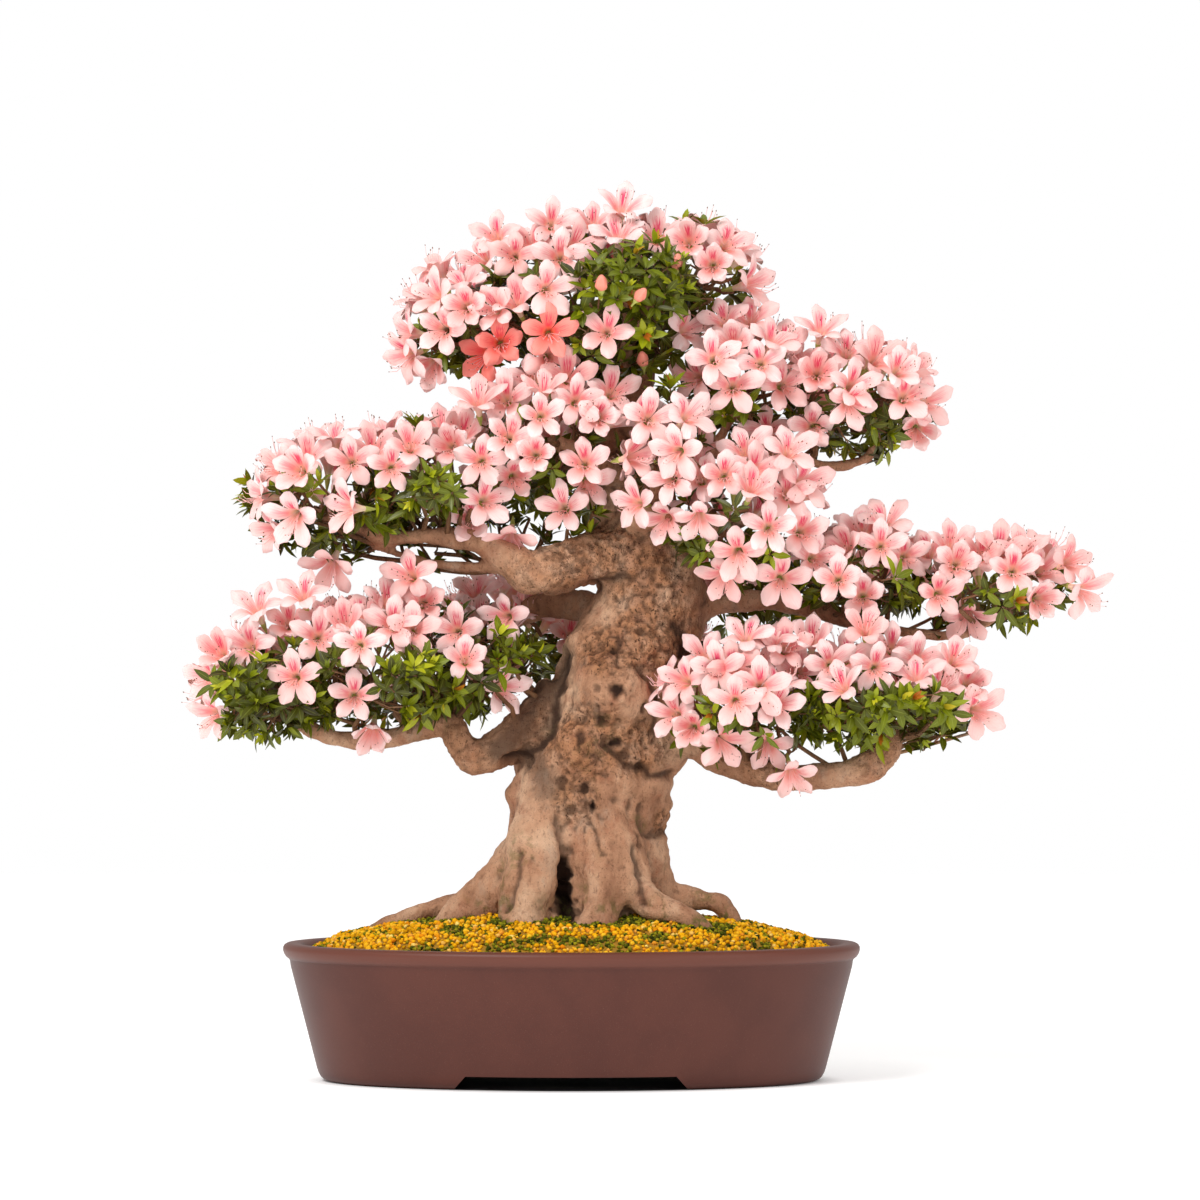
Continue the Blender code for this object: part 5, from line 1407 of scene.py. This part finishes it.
def share(lobe, place, inset=0.0):
    # how far out a place is in a lobe: 1 is its outline, less the inset
    return math.sqrt(sum(((place[i] - lobe[i]) / (lobe[i + 3] - inset)) ** 2 for i in range(3)))


def inside(lobe, unit, radii):
    # the place in a lobe that lies this way and this far from its middle
    return Vector([lobe[i] + unit[i] * radii[i] for i in range(3)])


def frontShare(lobe, x, z):
    inset = foliage["mouthInset"]
    return math.hypot((x - lobe[0]) / (lobe[3] - inset), (z - lobe[2]) / (lobe[5] - inset))


def placeInDepth(lobes, x, z):
    # where a thing that is seen at x, z stands: on the front of the lobe that holds it
    shares = [(frontShare(lobe, x, z), lobe) for lobe in lobes]
    holding = [pair for pair in shares if pair[0] < 1] or [min(shares)]
    inset, least = foliage["mouthInset"], foliage["rimRise"] ** 2
    y = min(lobe[1] - (lobe[4] - inset) * math.sqrt(max(least, 1 - part**2)) for part, lobe in holding)
    away = 1 - y / eye.y
    return Vector((eye.x + (x - eye.x) * away, y, eye.z + (z - eye.z) * away))


def facingFrom(right, rise):
    return Vector((right, -math.sqrt(max(0.02, 1 - right * right - rise * rise)), rise)).normalized()


def drawnBlooms():
    # (pad, colour, mouth in millimetres, facing) of every bloom that shows from the front
    for name, lobes in pads.items():
        for colour, places in (("coral", coralBlooms.get(name, ())), ("pink", frontBlooms.get(name, ()))):
            forward = Vector((0, foliage["coralForward"] if colour == "coral" else 0, 0))
            for x, z, right, rise in places:
                yield name, colour, placeInDepth(lobes, x, z) - forward, facingFrom(right, rise)


def leafyAt(spot):
    return spot.y < 20 and any(x1 < spot.x < x2 and z1 < spot.z < z2 for x1, x2, z1, z2 in leafyFront)


def filledBlooms(taken, isTop):
    # pink blooms where there is room for more, on the tops of the pads or on their backs
    spacing = foliage["topSpacing" if isTop else "backSpacing"]
    for name, lobes in pads.items():
        for lobe in lobes:
            radii = [lobe[i] - foliage["mouthInset"] for i in (3, 4, 5)]
            others = [other for other in everyLobe if other != lobe]
            for unit in spiral(foliage["tried"], 0.28 if isTop else -0.3, 0.99):
                spot = inside(lobe, unit, radii)
                if (unit.y > 0.5 if isTop else unit.y < 0.12) or leafyAt(spot):
                    continue
                if any(share(other, spot, foliage["mouthInset"]) < 0.95 for other in others):
                    continue
                if min((spot - mouth).length for mouth in taken) < spacing:
                    continue
                normal = Vector([unit[i] / radii[i] for i in range(3)]).normalized()
                sway = Vector((rng.uniform(-0.3, 0.3), rng.uniform(-0.5, 0.1) if isTop else 0, 0.3))
                taken.append(spot)
                yield name, "pink", spot, (normal + sway).normalized()


def bloomsWanted():
    wanted = list(drawnBlooms())
    taken = [mouth for _, _, mouth, _ in wanted]
    for isTop in (True, False):
        wanted += filledBlooms(taken, isTop)
    return wanted


def petalFaces(shape):
    # one side of the petals, for telling whether two blooms cut each other
    ends = np.append(shape["starts"][1:], len(shape["corners"]))
    rows = zip(shape["starts"], ends, shape["slots"])
    spans = [span for *span, slot in rows if slot == bloomSlots["petal"]]
    side = len(spans) // bloomShape["petals"] // 2
    corners = shape["corners"]
    return [corners[start:end].tolist() for i, (start, end) in enumerate(spans) if i // side % 2 == 0]


def bloomTree(shape, matrix):
    turn = np.array(matrix.to_3x3())
    places = shape["places"] @ turn.T + np.array(matrix.translation)
    return BVHTree.FromPolygons(places.tolist(), shape["petalFaces"])


def settledBlooms():
    # each bloom slides a little along its facing to where its petals cut its neighbours' least
    placed, trees = [], []
    for shape in blooms:
        shape["petalFaces"] = petalFaces(shape)
    for name, colour, mouth, facing in bloomsWanted():
        shape = blooms[rng.randrange(len(blooms))]
        near = [tree for place, tree in trees if (place - mouth).length < foliage["bloomReach"]]
        best, fewest = None, math.inf
        for push in foliage["pushes"]:
            for roll in foliage["rolls"]:
                way = (facing + Vector((rng.uniform(-0.1, 0.1), 0, rng.uniform(-0.1, 0.1)))).normalized()
                spot = mouth + facing * push
                matrix = standing(real(spot), way, roll + rng.uniform(-0.1, 0.1), rng.uniform(0.93, 1.06))
                tree = bloomTree(shape, matrix)
                cost = sum(len(tree.overlap(other)) for other in near) + foliage["pushCost"] * abs(push)
                if cost < fewest:
                    best, fewest = (spot, matrix, way, tree), cost
            if fewest < 2:
                break
        spot, matrix, way, tree = best
        trees.append((spot, tree))
        placed.append({
            "pad": name, "colour": colour, "mouth": spot, "facing": way,
            "copy": (shape, matrix, rng.betavariate(1.6, 3.0)),
        })
    return placed


placedBlooms = settledBlooms()
print(len(placedBlooms), "blooms are placed")


def crowded(spot, near):
    # whether a bloom leaves no room for a whorl here
    for mouth, way in near:
        away = spot - mouth
        ahead = away.dot(way)
        # nothing before the mouth, and less and less room towards the foot of the tube
        room = foliage["bloomRoom"] * (1.2 if ahead > -12 else 1 + (ahead + 12) / 36)
        if -42 < ahead < 34 and (away - way * ahead).length < room:
            return True
    return False


def whorlPlaces(name):
    # (place in millimetres, facing, layer) of each whorl of a pad
    places = []
    mouths = [(bloom["mouth"], bloom["facing"]) for bloom in placedBlooms]
    for lobe in pads[name]:
        others = [other for other in everyLobe if other != lobe]
        near = [(mouth, way) for mouth, way in mouths if share(lobe, mouth) < foliage["nearLobe"]]
        for layer, (inset, spacing) in enumerate(foliage["layers"]):
            radii = [max(10, lobe[i] - inset) for i in (3, 4, 5)]
            # the area of an ellipsoid, near enough
            faces = [(radii[a] * radii[b]) ** 1.6 for a, b in ((0, 1), (0, 2), (1, 2))]
            area = 4 * math.pi * (sum(faces) / 3) ** (1 / 1.6)
            for unit in spiral(int(area / spacing**2)):
                spot = Vector([lobe[i] + unit[i] * radii[i] + rng.uniform(-3.5, 3.5) for i in range(3)])
                if any(share(other, spot, inset) < 0.97 for other in others):
                    continue
                bare = foliage["bare"].get(name, 0.3) * smoothStep(-0.3, -0.7, unit.z)
                if unit.z < -0.3 and rng.random() < bare:
                    continue
                sparse = layer < 2 and noise.noise(spot / foliage["hollowSize"]) > foliage["hollowsFrom"]
                if crowded(spot, near) or sparse or inWood(real(spot), 4 * mm):
                    continue
                normal = Vector([unit[i] / radii[i] for i in range(3)]).normalized()
                scatter = Vector((rng.uniform(-0.3, 0.3), rng.uniform(-0.3, 0.3), rng.uniform(-0.2, 0.3)))
                places.append((spot, (normal * 0.8 + up * 0.45 + scatter).normalized(), layer))
    return places


def twigLine(start, end, sag=0.12):
    # a slightly crooked line between two places, in metres
    reach = (end - start).length * sag
    bend = Vector((rng.uniform(-1, 1), rng.uniform(-1, 1), rng.uniform(-1.2, 0.2))) * reach
    kink = Vector((rng.uniform(-1, 1), rng.uniform(-1, 1), rng.uniform(-1, 1))) * reach * 0.35
    between = ((0.27, 0.7, -1), (0.5, 1, 1), (0.77, 0.6, -1))
    bends = [start.lerp(end, along) + bend * much + kink * turn for along, much, turn in between]
    return [start, *bends, end]


def thickTwigs(lobes, rods, hubs):
    # twigs from the limbs to the insides of the lobes, where the finer ones branch off
    for lobe in lobes:
        for unit in spiral(foliage["hubsALobe"], -0.7, 0.6):
            spread = rng.uniform(0.3, 0.62)
            hub = Vector([lobe[i] + unit[i] * lobe[i + 3] * spread for i in range(3)]) - up * 0.16 * lobe[5]
            root = min(limbPoints, key=lambda point: (point - hub).length + 0.3 * max(0, point.z - hub.z))
            hubs.append(hub)
            rods.append(slim(twigLine(real(root), real(hub), 0.16), (3.0, 2.5, 2.2, 1.9, 1.6), 5))


def twigsInView(name, rods, hubs, spots):
    # the twigs drawn for the front, with some leaves along them
    for *line, thick in drawnTwigs.get(name, ()):
        points = [placeInDepth(pads[name], x, z) + Vector((0, 34, 0)) for x, z in line]
        x, z, depth = *line[0], points[0].y
        points[0] = min(limbPoints, key=lambda p: math.hypot(p.x - x, p.z - z) + 0.2 * abs(p.y - depth))
        path = smoothLine(points, 3)
        widths = [thick * (1 - 0.35 * i / (3 * len(line))) for i in range(len(path))]
        rods.append(slim([real(point) for point in path], widths, 5))
        hubs += points[1:]
        for point in path[3:]:
            if rng.random() < foliage["onTwigs"]:
                aside = Vector((rng.uniform(-9, 9), rng.uniform(-12, 6), rng.uniform(-6, 10)))
                facing = Vector((rng.uniform(-0.6, 0.6), rng.uniform(-0.8, 0.2), 0.7)).normalized()
                spots.append((point + aside, facing, 1))


def leafTone(spot, layer, middle):
    # deeper in and lower down the leaves are darker, a painted shade; now and then a young light whorl,
    # seldom a red one
    height = min(1.0, max(0.0, (spot.z - (middle - 50)) / 110))
    tone = 0.3 + 0.12 * height + rng.gauss(0.04, 0.13) - 0.08 * layer
    if rng.random() < foliage["young"] and layer == 0:
        tone += 0.28
    if rng.random() < foliage["red"]:
        tone = 0.98
    return min(1.0, max(0.0, tone))


def budCopies(name):
    for x, z, right, rise in buds.get(name, ()):
        spot = placeInDepth(pads[name], x, z) - Vector((0, foliage["budForward"], 0))
        yield bud, standing(real(spot), facingFrom(right, rise), 0.4, 1.0), 1.0


def makePad(name):
    lobes = pads[name]
    mine = [bloom for bloom in placedBlooms if bloom["pad"] == name]
    spots = whorlPlaces(name)
    rods, hubs, leaves = [], [], []
    thickTwigs(lobes, rods, hubs)
    twigsInView(name, rods, hubs, spots)
    for spot, facing, layer in spots:
        tone = leafTone(spot, layer, lobes[0][2])
        matrix = standing(real(spot), facing, rng.uniform(0, math.tau), rng.uniform(0.82, 1.12))
        leaves.append((rng.choice(whorls), matrix, tone))
        hub = min(hubs, key=lambda h: (h - spot).length + rng.uniform(0, 10))
        rods.append(slim(twigLine(real(hub), real(spot))[::2], (1.3, 1.0, 0.75), 3))
    for bloom in mine:
        foot = bloom["copy"][1] @ Vector((0, 0, -35 * mm))
        hub = min(hubs, key=lambda h: (real(h) - foot).length)
        rods.append(slim(twigLine(real(hub), foot)[::2], (1.4, 1.1, 0.8), 3))
    word = name.title().replace("_", "")
    word = word[0].lower() + word[1:]
    whole = repeated(word, leaves)
    pieceReady(whole, word + "Leaves", [looks["leaf"]], "azalea_leaf", [f"{name}_leaves"], 50)
    twigs = rodsObject(word, rods)
    for title in ("hollow", "moss", "rough"):
        twigs.data.attributes.new(title, "FLOAT", "POINT")
    pieceReady(twigs, word + "Twigs", [looks["twig"]], "azalea_bark", [], 60)
    for colour, title, slot in bloomKinds:
        copies = [bloom["copy"] for bloom in mine if bloom["colour"] == colour]
        if colour == "pink":
            copies += budCopies(name)
        if copies:
            nodes = [node for node in nodeNames if node.startswith(f"{name}_{title}_")]
            palette = [looks[part] for part in (colour, "stamen", "anther", "calyx", "bud")]
            piece = word + title.title().replace("_", "")
            pieceReady(repeated(word + colour, copies), piece, palette, slot, nodes, 50)


for pad in pads:
    makePad(pad)


# What stays as the solids are


for name in ("drain_screen_left", "drain_screen_right"):
    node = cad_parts[name]
    node.data.materials.clear()
    node.data.materials.append(looks["mesh"])

bpy.context.view_layer.update()
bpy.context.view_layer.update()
pieces = [obj for obj in bpy.data.objects if obj.type == "MESH" and "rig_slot" in obj]
print("all pieces are in place:", sum(trianglesOf(piece) for piece in pieces), "triangles")
